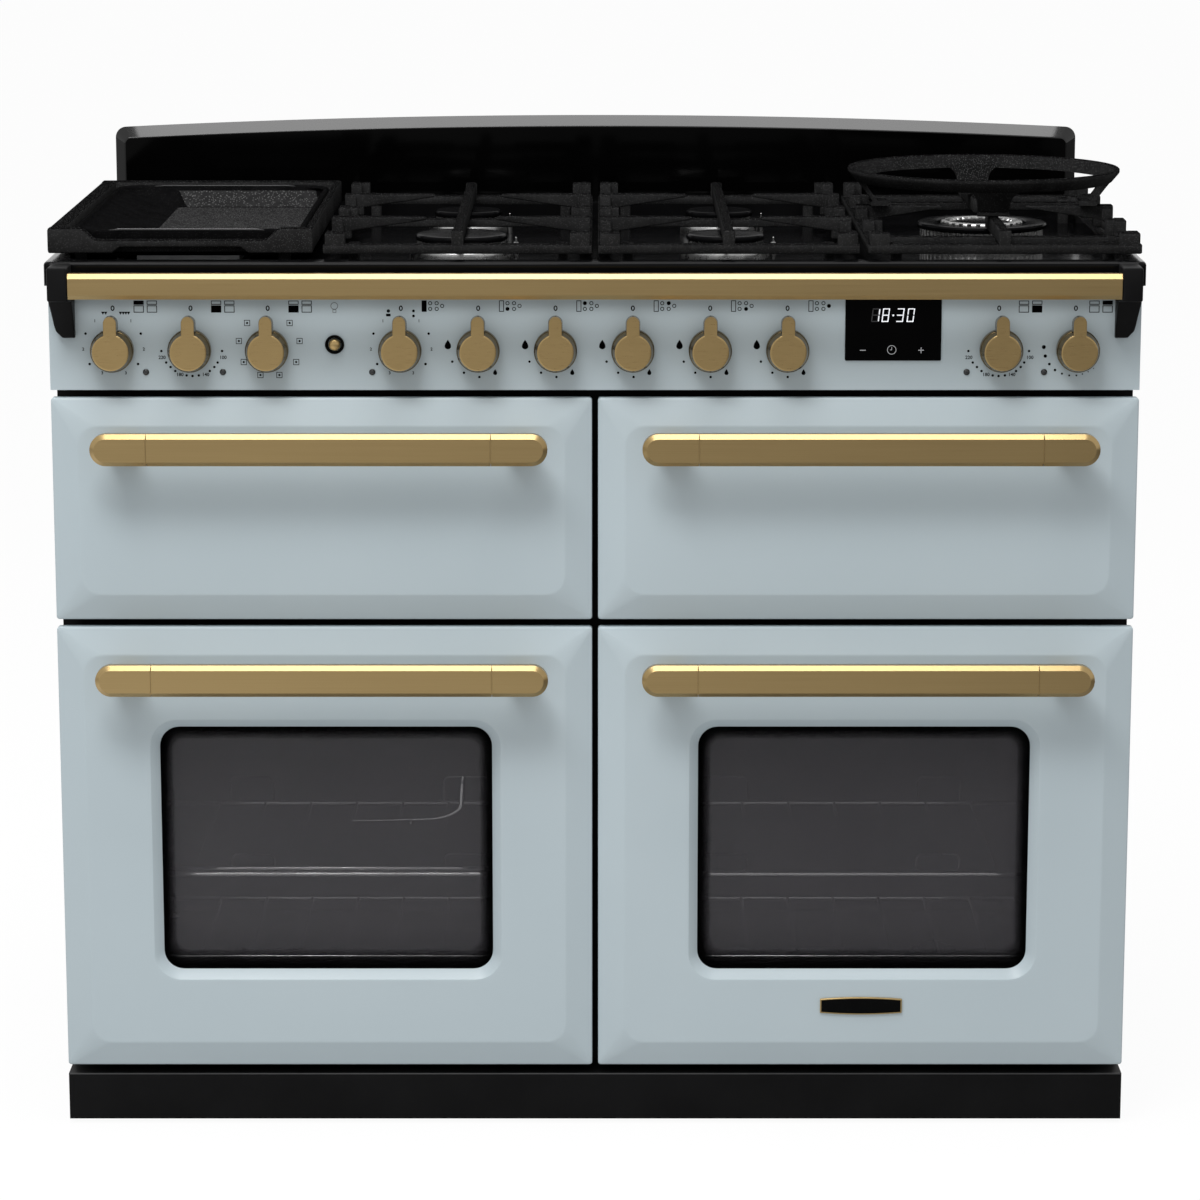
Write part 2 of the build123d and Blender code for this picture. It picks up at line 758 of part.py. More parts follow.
# Cast pan supports: a low frame with crossbars, raised blocks on its rails, tapered fingers and a spine
def pan_support(x, split):
    y = (grate_front, grate_back)
    bar_z = (grate_bottom, grate_bottom + grate_bar)
    finger_z = (grate_top - finger_height, grate_top)
    full_z = (grate_bottom, grate_top)
    middle = mid(x)
    inside = (grown(x, -grate_rail), grown(y, -grate_rail))
    ring = Pos(middle, mid(y)) * Rectangle(x[1] - x[0], y[1] - y[0])
    ring = ring - Pos(middle, mid(y)) * RectangleRounded(
        inside[0][1] - inside[0][0], inside[1][1] - inside[1][0], grate_rail)
    pieces = [along_z(ring, bar_z)]
    for edge, inward in ((x[0], 1), (x[1], -1)):
        rail_x = span(edge, edge + inward * grate_rail)
        corner_x = span(edge, edge + inward * crown_block)
        for near, step in ((y[0], 1), (y[1], -1)):
            pieces.append(block(corner_x, span(near, near + step * grate_rail), full_z))
            pieces.append(block(rail_x, span(near, near + step * crown_block), full_z))
            leg_x = span(edge + inward * grate_leg_inset, edge + inward * (grate_leg_inset + grate_leg))
            leg_y = span(near + step * grate_leg_inset, near + step * (grate_leg_inset + grate_leg))
            pieces.append(block(leg_x, span(near, leg_y[1] if step > 0 else leg_y[0]), bar_z))
            pieces.append(block(leg_x, leg_y, (hob_floor, bar_z[1])))
        for row in (rows[0], grate_middle, rows[1]):
            pieces.append(block(rail_x, grown((row, row), crown_block / 2), full_z))
        tip = middle - inward * (wok_finger_gap if split else finger_gap)
        side = Polygon((edge, finger_z[0]), (tip, grate_top - finger_nose), (tip, grate_top),
                       (edge, grate_top), align=None)
        for row in (grate_middle,) if split else rows:
            plan = Polygon((edge, row - finger_root / 2), (tip, row - finger_tip / 2),
                           (tip, row + finger_tip / 2), (edge, row + finger_root / 2), align=None)
            pieces.append(along_z(plan, finger_z) & along_y(side, *grown((row, row), finger_root)))
    spine_x = grown((middle, middle), spine_width / 2)
    runs = [(y[0], y[1])]
    crossbars = [grate_middle]
    if split:
        runs = [(y[0], grate_middle - wok_radius), (grate_middle + wok_radius, y[1])]
        crossbars = [grate_middle - crossbar_reach, grate_middle + crossbar_reach]
    for place in crossbars:
        pieces.append(block(grown(x, -grate_rail / 2), grown((place, place), grate_rail / 2), bar_z))
    for run in runs:
        pieces.append(block(spine_x, run, finger_z))
    for near, step in ((y[0], 1), (y[1], -1)):
        pieces.append(block(spine_x, span(near, near + step * grate_rail), full_z))
    return fuse(pieces)


nodes["pan_support_left"] = [pan_support(left_support_x, False)]
nodes["pan_support_centre"] = [pan_support(centre_support_x, False)]
nodes["pan_support_right"] = [pan_support(right_support_x, True)]

# Wok cradle: a flared band on four legs with flat feet
cradle_top = grate_top + cradle_height
foot_top = grate_top + cradle_wall
foot_edge = cradle_base + cradle_foot
profile = Polygon((cradle_base, grate_top), (foot_edge, grate_top), (foot_edge, foot_top),
                  (cradle_radius, cradle_top - cradle_wall), (cradle_radius, cradle_top),
                  (cradle_radius - cradle_wall, cradle_top), (foot_edge - 2 * cradle_wall, foot_top),
                  (cradle_base, foot_top), align=None)
cradle = revolve(Plane.XZ * profile, Axis.Z)
slot_r = grown((cradle_base, cradle_radius), cradle_wall)
slot_z = (grate_top - cradle_wall, cradle_top - cradle_band)
slot = Pos(mid(slot_r), mid(slot_z)) * Rectangle(slot_r[1] - slot_r[0], slot_z[1] - slot_z[0])
slot = revolve(Plane.XZ * slot, Axis.Z, cradle_slot)
for quarter in range(4):
    cradle = cradle - Rot(0, 0, quarter * 90 + (90 - cradle_slot) / 2) * slot
nodes["wok_cradle"] = [Pos(wok_x, grate_middle, 0) * cradle]

# Griddle: a cast surround with a dipped front bar, and a lipped plate on its inner ledge
griddle_y = (grate_front, grate_back)
full_z = (grate_bottom, grate_top)
surround = block(griddle_x, griddle_y, full_z)
well = (grown(griddle_x, -griddle_rail), grown(griddle_y, -griddle_rail))
ledge_z = (grate_bottom, grate_bottom + griddle_base)
surround = surround - block(*well, (ledge_z[1], grate_top))
surround = surround - block(grown(well[0], -griddle_ledge), grown(well[1], -griddle_ledge), ledge_z)
dip_x = grown(griddle_x, -griddle_corner)
dip_z = grate_top - griddle_dip
dip = Polygon((dip_x[0], grate_top), (dip_x[0] + griddle_slope, dip_z),
              (dip_x[1] - griddle_slope, dip_z), (dip_x[1], grate_top), align=None)
surround = surround - along_y(dip, griddle_y[0], griddle_y[0] + griddle_rail)
slot_x = grown((mid(griddle_x), mid(griddle_x)), griddle_slot / 2)
surround = surround - block(slot_x, (griddle_y[0], well[1][0] + griddle_ledge),
                            (grate_bottom, grate_bottom + griddle_slot_height))
for edge, inward in ((griddle_x[0], 1), (griddle_x[1], -1)):
    for near, step in ((griddle_y[0], 1), (griddle_y[1], -1)):
        leg_x = span(edge + inward * grate_leg_inset, edge + inward * (grate_leg_inset + grate_leg))
        leg_y = span(near + step * grate_leg_inset, near + step * (grate_leg_inset + grate_leg))
        arm_y = span(near, leg_y[1] if step > 0 else leg_y[0])
        surround = surround + block(leg_x, leg_y, (hob_floor, ledge_z[1])) + block(leg_x, arm_y, ledge_z)
nodes["griddle_frame"] = [surround]
plate_x, plate_y = [grown(pair, -griddle_clear) for pair in well]
plate_z = (ledge_z[1], ledge_z[1] + griddle_lip)
hang_z = (plate_z[0] - griddle_hang, plate_z[0])
hang = [grown(pair, -griddle_hang_inset) for pair in (plate_x, plate_y)]
floor_z = hang_z[0] + griddle_base
floor_x = (plate_x[0] + griddle_far_slope, plate_x[1] - griddle_near_slope)
floor_y = grown(plate_y, -griddle_near_slope)
rim = [grown(pair, -griddle_wall) for pair in (plate_x, plate_y)]
plate = along_z(rounded(plate_x, plate_y, griddle_round), plate_z)
plate = plate + along_z(rounded(*hang, griddle_round), hang_z)
bowl_ends = [Plane.XY.offset(level) * Pos(mid(x), mid(y)) * Rectangle(x[1] - x[0], y[1] - y[0])
             for level, (x, y) in ((floor_z, (floor_x, floor_y)), (plate_z[1], rim))]
nodes["griddle_plate"] = [plate - loft(bowl_ends, ruled=True)]
elements.append(block(grown(griddle_x, -griddle_element_inset), grown(griddle_y, -griddle_element_inset),
                      (hob_floor, hob_floor + hotplate_height)))
nodes["heating_elements"] = elements


# Control panel: a folded front with a floor and two ends, bored for the spindles and the button
panel_x = (-body_half, body_half)
panel = block(panel_x, (door_y, frame_y), (panel_bottom, panel_top))
panel = panel - block(grown(panel_x, -sheet), (door_y + sheet, frame_y), (panel_bottom + sheet, panel_top))
spindle_hole = Circle(spindle_radius + running_clearance)
for place in knob_x.values():
    panel = panel - along_y(Pos(place, knob_z) * spindle_hole, door_y, door_y + sheet)
button_z = panel_bottom + button_rise
button_at = Pos(button_x, button_z)
button_hole = button_at * Circle(button_radius + running_clearance)
nodes["control_panel"] = [panel - along_y(button_hole, door_y, door_y + sheet)]
timer_z = panel_bottom + timer_rise
timer = block(grown((timer_x, timer_x), timer_width / 2), (door_y - timer_depth, door_y),
              (timer_z, timer_z + timer_height))
bezel = along_y(button_at * Circle(bezel_radius) - button_hole, door_y - bezel_depth, door_y)
nodes["fascia_trims"] = [timer, bezel]
button = along_y(button_at * Circle(button_radius), door_y - button_reach, door_y + button_stem)
nodes["light_button"] = [fillet(button.faces().sort_by(Axis.Y)[0].edges(), button_round)]


def knob(place):
    here = Pos(place, knob_z)
    flange_y = knob_rear - knob_flange
    drum = loft([front_plane(flange_y) * here * Circle(knob_drum_radius),
                 front_plane(knob_front) * here * Circle(knob_face_radius)])
    straight = lever_length - lever_width / 2
    lever = Pos(place, knob_z + straight / 2) * Rectangle(lever_width, straight)
    lever = lever + Pos(place, knob_z + straight) * Circle(lever_width / 2)
    return (along_y(here * Circle(knob_flange_radius), flange_y, knob_rear) + drum
            + along_y(lever, knob_front, knob_front + lever_thickness))


for name, place in knob_x.items():
    here = Pos(place, knob_z)
    turned = knob(place)
    if name in gas_names:
        turned = turned - along_y(here * spindle_hole, knob_rear - spindle_grip - seat_gap, knob_rear)
        stem = along_y(here * Circle(spindle_radius), knob_rear - spindle_grip, door_y + spindle_reach)
        nodes["tap_spindle_" + name] = [stem]
    else:
        turned = turned + along_y(here * Circle(spindle_radius), knob_rear, door_y + spindle_reach)
    nodes["knob_" + name] = [turned]

# Gas rail with five taps, a pipe to each burner and the inlet at the back
tap_y = (door_y + sheet, door_y + sheet + tap_length)
gas_rail_y = tap_y[1] + gas_rail_setback
gas_x = [knob_x[name] for name in gas_names]
rail_ends = (gas_x[0] - tap_size, gas_x[-1] + tap_size)
manifold = [rod((rail_ends[0], gas_rail_y, knob_z), (rail_ends[1], gas_rail_y, knob_z), gas_rail_radius)]
pipe_z = hob_floor - sheet - gas_pipe_drop
for name in gas_names:
    place = knob_x[name]
    burner_x, burner_y = burner_places[name]
    tap = block(grown((place, place), tap_size / 2), tap_y, grown((knob_z, knob_z), tap_size / 2))
    manifold.append(tap - along_y(Pos(place, knob_z) * spindle_hole, tap_y[0], door_y + tap_bore))
    manifold.append(tube([(place, mid(tap_y), knob_z + tap_size / 2), (place, mid(tap_y), pipe_z),
                          (burner_x, burner_y, pipe_z), (burner_x, burner_y, hob_floor - sheet)],
                         gas_pipe_radius, gas_bend))
inlet_x = rail_ends[1] - gas_rail_radius
manifold.append(rod((inlet_x, gas_rail_y, knob_z), (inlet_x, back, knob_z), gas_rail_radius))
nodes["gas_manifold"] = [fuse(manifold)]
inlet_hole = rod((inlet_x, back_y - sheet, knob_z), (inlet_x, back_y, knob_z), gas_rail_radius)
nodes["cabinet_panels"] = side_sheets + [back_sheet - inlet_hole]

# Towel rail between two cast brackets that reach under the hob edge to the panel
rail_z = (hob_top - rail_lift - rail_height, hob_top - rail_lift)
rail = block((-rail_half, rail_half), (front, front + handle_thickness), rail_z)
nodes["handrail_bar"] = [chamfer(rail.faces().sort_by(Axis.Y)[0].edges().filter_by(Axis.X), handle_chamfer)]
brackets = []
head_back = hob_front - bracket_gap
head_top = hob_top - bracket_drop
leg_top = panel_top - bracket_edge
leg_bottom = leg_top - bracket_leg
slant = bracket_foot / 2
bracket = Polygon((door_y, leg_top), (head_back, leg_top), (head_back, head_top), (front, head_top),
                  (front, rail_z[0] - bracket_edge), (front + slant, rail_z[0] - slant),
                  (door_y - bracket_foot, leg_bottom + slant), (door_y - slant, leg_bottom),
                  (door_y, leg_bottom), align=None)
for side in (-1, 1):
    brackets.append(along_x(bracket, span(side * rail_half, side * (rail_half + bracket_thickness))))
nodes["handrail_brackets"] = brackets

os.makedirs("parts", exist_ok=True)
for name, pieces in nodes.items():
    solids = [solid for piece in pieces for solid in piece.solids()]
    export_step(Compound(solids), f"parts/{name}.step")
print(len(nodes), "nodes")
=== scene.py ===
import math

import bmesh
import bpy
import numpy as np
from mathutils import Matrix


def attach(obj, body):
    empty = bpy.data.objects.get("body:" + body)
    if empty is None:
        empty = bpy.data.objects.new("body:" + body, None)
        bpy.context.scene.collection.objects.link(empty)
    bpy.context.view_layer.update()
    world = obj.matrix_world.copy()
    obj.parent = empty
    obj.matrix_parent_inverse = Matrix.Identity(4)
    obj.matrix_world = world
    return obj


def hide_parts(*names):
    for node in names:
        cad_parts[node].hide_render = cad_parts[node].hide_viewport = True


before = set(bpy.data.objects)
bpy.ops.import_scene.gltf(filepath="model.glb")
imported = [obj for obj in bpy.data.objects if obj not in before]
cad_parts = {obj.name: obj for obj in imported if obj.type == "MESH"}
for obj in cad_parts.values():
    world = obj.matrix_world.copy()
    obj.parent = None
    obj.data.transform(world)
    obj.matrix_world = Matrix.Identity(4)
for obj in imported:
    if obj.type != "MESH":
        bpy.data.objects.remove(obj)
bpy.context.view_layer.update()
print("frame loaded:", len(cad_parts), "nodes")


# outlines are points (u, v) in millimetres, taken round in order

def arcPoints(u, v, radius, start, stop, count):
    # centre plus radius times the cosine and sine of angles from start to stop, in degrees
    a = np.radians(np.linspace(start, stop, count))
    return np.stack([u + radius * np.cos(a), v + radius * np.sin(a)], 1)


def circle(u, v, radius, count):
    # a full turn of arc points, without the last, which meets the first
    return arcPoints(u, v, radius, 0, 360, count + 1)[:-1]


def roundedOutline(u, v, radius, count=9):
    # a rectangle whose four corners are quarter circles
    r = radius
    return np.concatenate([arcPoints(u[1] - r, v[1] - r, r, 0, 90, count),
                           arcPoints(u[0] + r, v[1] - r, r, 90, 180, count),
                           arcPoints(u[0] + r, v[0] + r, r, 180, 270, count),
                           arcPoints(u[1] - r, v[0] + r, r, 270, 360, count)])


def grown(pair, amount):
    # the low end moved down and the high end moved up by the amount
    return (pair[0] - amount, pair[1] + amount)


def span(middle, half):
    # from half below the middle to half above it
    return (middle - half, middle + half)


def onFront(outline, y):
    # (u, v) becomes (x, z) at one depth
    return np.stack([outline[:, 0], np.full(len(outline), float(y)), outline[:, 1]], 1)


def onTop(outline, z):
    # (u, v) becomes (x, y) at one height
    return np.stack([outline[:, 0], outline[:, 1], np.full(len(outline), float(z))], 1)


def skin(rings, around=False):
    # quads join every ring to the next; the ends get flat faces, or the last ring meets the first
    rings = np.asarray(rings, float)
    rows, n = rings.shape[:2]
    steps = rows if around else rows - 1
    near = np.arange(steps)[:, None] * n
    far = (np.arange(steps)[:, None] + 1) % rows * n
    here, after = np.arange(n)[None], (np.arange(n)[None] + 1) % n
    faces = np.stack([near + here, near + after, far + after, far + here], -1).reshape(-1, 4).tolist()
    if not around:
        faces += [list(range(n))[::-1], list(range((rows - 1) * n, rows * n))]
    return rings.reshape(-1, 3), faces


def merged(shells):
    # the shells' points in one array, each shell's faces counted on from the points before it
    starts = np.cumsum([0] + [len(points) for points, faces in shells])
    faces = [[i + start for i in face] for start, (points, some) in zip(starts, shells) for face in some]
    return np.concatenate([points for points, faces in shells]), faces


def lathe(profile, centre, axis="z", count=64):
    # each (radius, height) of the profile becomes a circle about the axis through the centre
    profile = np.asarray(profile, float)
    a = np.linspace(0, 2 * np.pi, count, endpoint=False)
    u = profile[:, :1] * np.cos(a)
    v = profile[:, :1] * np.sin(a)
    w = np.repeat(profile[:, 1:], count, 1)
    parts = (u, v, w) if axis == "z" else (u, w, v)
    return skin(np.stack(parts, -1) + np.asarray(centre, float))


def hoop(profile, centre, count=96):
    # a closed (radius, height) profile carried once round the upright axis
    profile = np.asarray(profile, float)
    a = np.linspace(0, 2 * np.pi, count, endpoint=False)[:, None]
    rings = np.stack([profile[:, 0] * np.cos(a), profile[:, 0] * np.sin(a), profile[:, 1] + 0 * a], -1)
    return skin(rings + np.asarray(centre, float), around=True)


def slab(outline, y, edge=0.0):
    # an outline pushed from y[0] to y[1], its front edge drawn in by a small chamfer
    if not edge:
        return skin([onFront(outline, y[1]), onFront(outline, y[0])])
    middle = (outline.max(0) + outline.min(0)) / 2
    size = (outline.max(0) - outline.min(0)) / 2
    inner = middle + (outline - middle) * (1 - edge / size)
    return skin([onFront(outline, y[1]), onFront(outline, y[0] + edge), onFront(inner, y[0])])


def washer(outer, inner, y):
    # two outlines joined front and back, so the ring between them is solid from y[0] to y[1]
    return skin([onFront(outer, y[1]), onFront(outer, y[0]), onFront(inner, y[0]), onFront(inner, y[1])], around=True)


def castBar(axis, stations, rounding):
    # a rounded box section carried along x or y, drawn in at its ends
    # a station is place, centre, half width, low, high
    s = np.asarray(stations, float)
    r = rounding * 0.9
    step = np.sign(s[-1, 0] - s[0, 0])
    caps = [[end - np.array([0, 0, r, -r, r]),
             end + np.array([way * r * 0.35, 0, -r * 0.3, r * 0.3, -r * 0.3]),
             end + np.array([way * r, 0, 0, 0, 0])] for end, way in ((s[0], step), (s[-1], -step))]
    s = np.array(caps[0] + list(s[1:-1]) + caps[1][::-1])
    place, centre, half, low, high = (s[:, i:i + 1] for i in range(5))
    a = np.radians(np.linspace(0, 90, 4))
    turn = np.concatenate([a, a + np.pi / 2, a + np.pi, a + 1.5 * np.pi])[None]
    signU = np.repeat([1, -1, -1, 1], 4)[None]
    signV = np.repeat([1, 1, -1, -1], 4)[None]
    r = np.minimum(rounding, np.minimum(half, (high - low) / 2) * 0.95)
    u = centre + signU * (half - r) + r * np.cos(turn)
    v = (low + high) / 2 + signV * ((high - low) / 2 - r) + r * np.sin(turn)
    w = place + 0 * u
    return skin(np.stack((w, u, v) if axis == "x" else (u, w, v), -1))


def evenBar(axis, run, centre, half, z, rounding):
    # a cast bar whose section stays the same from one end of the run to the other
    return castBar(axis, [(place, centre, half, *z) for place in run], rounding)


def addPiece(name, shell, finish, body, hides=(), smooth=35, along=None, facing=False):
    # millimetres become metres, faces turn outwards, and edges sharper than the smooth angle stay sharp
    points, faces = shell
    mesh = bpy.data.meshes.new(name)
    mesh.from_pydata((points * 0.001).tolist(), [], faces)
    shaped = bmesh.new()
    shaped.from_mesh(mesh)
    bmesh.ops.recalc_face_normals(shaped, faces=shaped.faces[:])
    shaped.to_mesh(mesh)
    shaped.free()
    mesh.shade_smooth()
    mesh.set_sharp_from_angle(angle=math.radians(smooth))
    mesh.materials.append(finish)
    if along is not None or facing:
        # the piece's own coordinate: a value for each point, or the part of each face's normal that points up, which
        # carries the painted shade on the tops
        if facing:
            normals, counts = np.empty(len(mesh.polygons) * 3), np.empty(len(mesh.polygons), int)
            mesh.polygons.foreach_get("normal", normals)
            mesh.polygons.foreach_get("loop_total", counts)
            values = np.repeat(normals.reshape(-1, 3)[:, 2], counts)
        else:
            corners = np.empty(len(mesh.loops), int)
            mesh.loops.foreach_get("vertex_index", corners)
            values = np.asarray(along)[corners]
        own = np.stack([values, np.full(len(values), 0.5)], 1)
        mesh.uv_layers.new(name="own").data.foreach_set("uv", own.ravel())
    piece = bpy.data.objects.new(name, mesh)
    bpy.context.scene.collection.objects.link(piece)
    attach(piece, body)
    if hides:
        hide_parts(*hides)


def addNode(tree, kind, values={}, operation=None):
    # a new node with the given sockets set
    node = tree.nodes.new("ShaderNode" + kind)
    if operation:
        node.operation = operation
    for socket, value in values.items():
        node.inputs[socket].default_value = value
    return node


def wire(tree, *pairs):
    # each pair is an output and the input that it feeds
    for out, into in pairs:
        tree.links.new(out, into)


# shared effects: soft mottle, drawn-out grain and scattered flecks

def newGroup(name, inputs, output):
    # a group with a Vector, the inputs at their given values and one number out
    group = bpy.data.node_groups.new(name, "ShaderNodeTree")
    for label, value in {"Vector": (0, 0, 0), **inputs}.items():
        kind = "NodeSocketVector" if isinstance(value, tuple) else "NodeSocketFloat"
        group.interface.new_socket(name=label, in_out="INPUT", socket_type=kind).default_value = value
    group.interface.new_socket(name=output, in_out="OUTPUT", socket_type="NodeSocketFloat")
    return group, group.nodes.new("NodeGroupInput").outputs, group.nodes.new("NodeGroupOutput").inputs[0]


mottleGroup, given, result = newGroup("softMottle", {"Scale": 20.0}, "Amount")
noise = addNode(mottleGroup, "TexNoise", {"Detail": 4.0})
stretch = addNode(mottleGroup, "MapRange", {"From Min": 0.3, "From Max": 0.7})
wire(mottleGroup, (given["Vector"], noise.inputs["Vector"]), (given["Scale"], noise.inputs["Scale"]),
     (noise.outputs["Fac"], stretch.inputs["Value"]), (stretch.outputs["Result"], result))

grainGroup, given, result = newGroup("drawnGrain", {"Stretch": (1, 1, 1)}, "Height")
scaled = addNode(grainGroup, "VectorMath", operation="MULTIPLY")
noise = addNode(grainGroup, "TexNoise", {"Scale": 1.0, "Detail": 3.0})
wire(grainGroup, (given["Vector"], scaled.inputs[0]), (given["Stretch"], scaled.inputs[1]),
     (scaled.outputs["Vector"], noise.inputs["Vector"]), (noise.outputs["Fac"], result))

fleckGroup, given, result = newGroup("scatteredFlecks", {"Scale": 300.0, "Size": 0.2}, "Mask")
cells = addNode(fleckGroup, "TexVoronoi")
below = addNode(fleckGroup, "Math", operation="LESS_THAN")
wire(fleckGroup, (given["Vector"], cells.inputs["Vector"]), (given["Scale"], cells.inputs["Scale"]),
     (cells.outputs["Distance"], below.inputs[0]), (given["Size"], below.inputs[1]), (below.outputs["Value"], result))

shaderSockets = {"shine": "Specular IOR Level", "metal": "Metallic", "alpha": "Alpha", "glow": "Emission Color",
                 "glowLevel": "Emission Strength"}


def makeFinish(name, spec):
    # two colours by a soft mottle, optional flecks, roughness between two values, bump from the grain
    finish = bpy.data.materials.new(name)
    finish.use_nodes = True
    tree = finish.node_tree
    surface = tree.nodes["Principled BSDF"]
    for key, socket in shaderSockets.items():
        if key in spec:
            surface.inputs[socket].default_value = spec[key]
    where = addNode(tree, "TexCoord").outputs

    def effect(group, **values):
        # one of the shared groups, read at the piece's own Object coordinates
        node = addNode(tree, "Group")
        node.node_tree = group
        wire(tree, (where["Object"], node.inputs["Vector"]))
        for label, value in values.items():
            node.inputs[label].default_value = value
        return node.outputs[0]

    def mixed(mask, a, b):
        # a where the mask is 0, b where it is 1
        node = addNode(tree, "Mix")
        node.data_type = "RGBA"
        wire(tree, (mask, node.inputs["Factor"]))
        for socket, value in ((node.inputs["A"], a), (node.inputs["B"], b)):
            if isinstance(value, tuple):
                socket.default_value = (*value, 1)
            else:
                wire(tree, (value, socket))
        return node.outputs["Result"]

    def ownCoordinate():
        # the first part of the piece's own UV map
        apart = addNode(tree, "SeparateXYZ")
        wire(tree, (where["UV"], apart.inputs[0]))
        return apart.outputs["X"]

    grain = effect(grainGroup, Stretch=np.broadcast_to(spec["grain"], 3).tolist())
    tint = mixed(effect(mottleGroup, Scale=spec.get("tintScale", 14.0)), spec["colour"], spec["colour2"])
    if "paintedTopShade" in spec:
        # faces that look up, by the piece's own coordinate, are painted darker: painted shade on the tops
        tilt = addNode(tree, "MapRange", {"From Min": 0.2, "From Max": 0.75})
        wire(tree, (ownCoordinate(), tilt.inputs["Value"]))
        tint = mixed(tilt.outputs["Result"], tint, spec["paintedTopShade"])
    if "streak" in spec:
        tint = mixed(grain, tint, spec["streak"])
    if "fleck" in spec:
        tint = mixed(effect(fleckGroup, Scale=spec["fleckScale"], Size=spec["fleckSize"]), tint, spec["fleck"])
    spread = addNode(tree, "MapRange", {"To Min": spec["rough"][0], "To Max": spec["rough"][1]})
    source = grain if "streak" in spec else effect(mottleGroup, Scale=spec.get("roughScale", 9.0))
    bump = addNode(tree, "Bump", {"Strength": spec["bump"], "Distance": spec.get("bumpDepth", 0.0002)})
    wire(tree, (tint, surface.inputs["Base Color"]), (source, spread.inputs["Value"]),
         (spread.outputs["Result"], surface.inputs["Roughness"]), (grain, bump.inputs["Height"]),
         (bump.outputs["Normal"], surface.inputs["Normal"]))
    if "fade" in spec:
        # opaque where the piece's own coordinate is 0, clear where it is 1
        power = addNode(tree, "Math", {1: spec["fade"]}, "POWER")
        rest = addNode(tree, "Math", {0: 1.0}, "SUBTRACT")
        wire(tree, (ownCoordinate(), power.inputs[0]), (power.outputs["Value"], rest.inputs[1]),
             (rest.outputs["Value"], surface.inputs["Alpha"]))
    return finish


doorPaint = makeFinish("doorPaint", {
    "colour": (0.490, 0.573, 0.612), "colour2": (0.510, 0.592, 0.630), "tintScale": 5.0, "rough": (0.34, 0.42),
    "roughScale": 7.0, "grain": 900, "bump": 0.05, "bumpDepth": 0.0001, "shine": 0.4})
hobEnamel = makeFinish("hobEnamel", {
    "colour": (0.002, 0.002, 0.0022), "colour2": (0.0035, 0.0035, 0.0038), "rough": (0.09, 0.16), "roughScale": 12.0,
    "grain": 700, "bump": 0.04, "bumpDepth": 0.0001, "shine": 0.06})
splashEnamel = makeFinish("splashEnamel", {
    "colour": (0.0008, 0.0008, 0.0008), "colour2": (0.0016, 0.0016, 0.0016), "rough": (0.07, 0.12), "roughScale": 6.0,
    "grain": 500, "bump": 0.03, "bumpDepth": 0.0001, "shine": 0.4})
splashDark = makeFinish("splashDark", {
    "colour": (0.0005, 0.0005, 0.0005), "colour2": (0.001, 0.001, 0.001), "rough": (0.06, 0.1), "roughScale": 6.0,
    "grain": 500, "bump": 0.03, "bumpDepth": 0.0001, "shine": 0.08})
blackCoat = makeFinish("blackCoat", {
    "colour": (0.0045, 0.0045, 0.0047), "colour2": (0.007, 0.007, 0.0073), "rough": (0.38, 0.5), "roughScale": 20.0,
    "grain": 1200, "bump": 0.15, "shine": 0.06})
# cast iron: faces that look up are painted darker than the sides, a painted shade
castIron = makeFinish("castIron", {
    "colour": (0.0145, 0.0145, 0.0147), "colour2": (0.0235, 0.0235, 0.0238), "tintScale": 40.0, "rough": (0.4, 0.55),
    "roughScale": 60.0, "paintedTopShade": (0.0028, 0.0028, 0.0029), "fleck": (0.050, 0.050, 0.050), "fleckScale": 600.0,
    "fleckSize": 0.26, "grain": 950, "bump": 0.4, "bumpDepth": 0.0003, "shine": 0.0})
brushedBrass = makeFinish("brushedBrass", {
    "colour": (0.322, 0.228, 0.101), "colour2": (0.290, 0.203, 0.089), "tintScale": 6.0,
    "streak": (0.380, 0.276, 0.131), "grain": (7, 2300, 2300), "rough": (0.24, 0.38), "bump": 0.12,
    "bumpDepth": 0.00012, "metal": 1.0})
turnedBrass = makeFinish("turnedBrass", {
    "colour": (0.372, 0.262, 0.116), "colour2": (0.346, 0.242, 0.106), "tintScale": 30.0,
    "streak": (0.402, 0.286, 0.131), "grain": (90, 1500, 1500), "rough": (0.24, 0.34), "bump": 0.04,
    "bumpDepth": 0.0001, "metal": 1.0})
# the knobs' sides: the same brass painted darker than the face, a painted shade
knobShadedBrass = makeFinish("knobShadedBrass", {
    "colour": (0.158, 0.107, 0.045), "colour2": (0.125, 0.084, 0.036), "tintScale": 60.0,
    "streak": (0.224, 0.156, 0.069), "grain": (1500, 60, 1500), "rough": (0.16, 0.26), "bump": 0.04,
    "bumpDepth": 0.0001, "metal": 1.0})
burnerAlloy = makeFinish("burnerAlloy", {
    "colour": (0.36, 0.36, 0.355), "colour2": (0.25, 0.25, 0.25), "tintScale": 70.0, "rough": (0.2, 0.34),
    "roughScale": 80.0, "grain": 900, "bump": 0.25, "metal": 1.0})
capEnamel = makeFinish("capEnamel", {
    "colour": (0.0015, 0.0015, 0.0017), "colour2": (0.003, 0.003, 0.0033), "tintScale": 50.0, "rough": (0.16, 0.24),
    "roughScale": 40.0, "grain": 800, "bump": 0.08, "shine": 0.01})
griddleCoat = makeFinish("griddleCoat", {
    "colour": (0.0025, 0.0025, 0.0026), "colour2": (0.0045, 0.0045, 0.0047), "tintScale": 60.0, "rough": (0.25, 0.34),
    "roughScale": 50.0, "fleck": (0.016, 0.016, 0.016), "fleckScale": 520.0, "fleckSize": 0.2, "grain": 900,
    "bump": 0.2, "bumpDepth": 0.0002, "shine": 0.0})
griddleShine = makeFinish("griddleShine", {
    "colour": (0.0025, 0.0025, 0.0026), "colour2": (0.0045, 0.0045, 0.0047), "tintScale": 60.0, "rough": (0.2, 0.28),
    "roughScale": 50.0, "grain": 900, "bump": 0.1, "bumpDepth": 0.0001, "shine": 0.16})
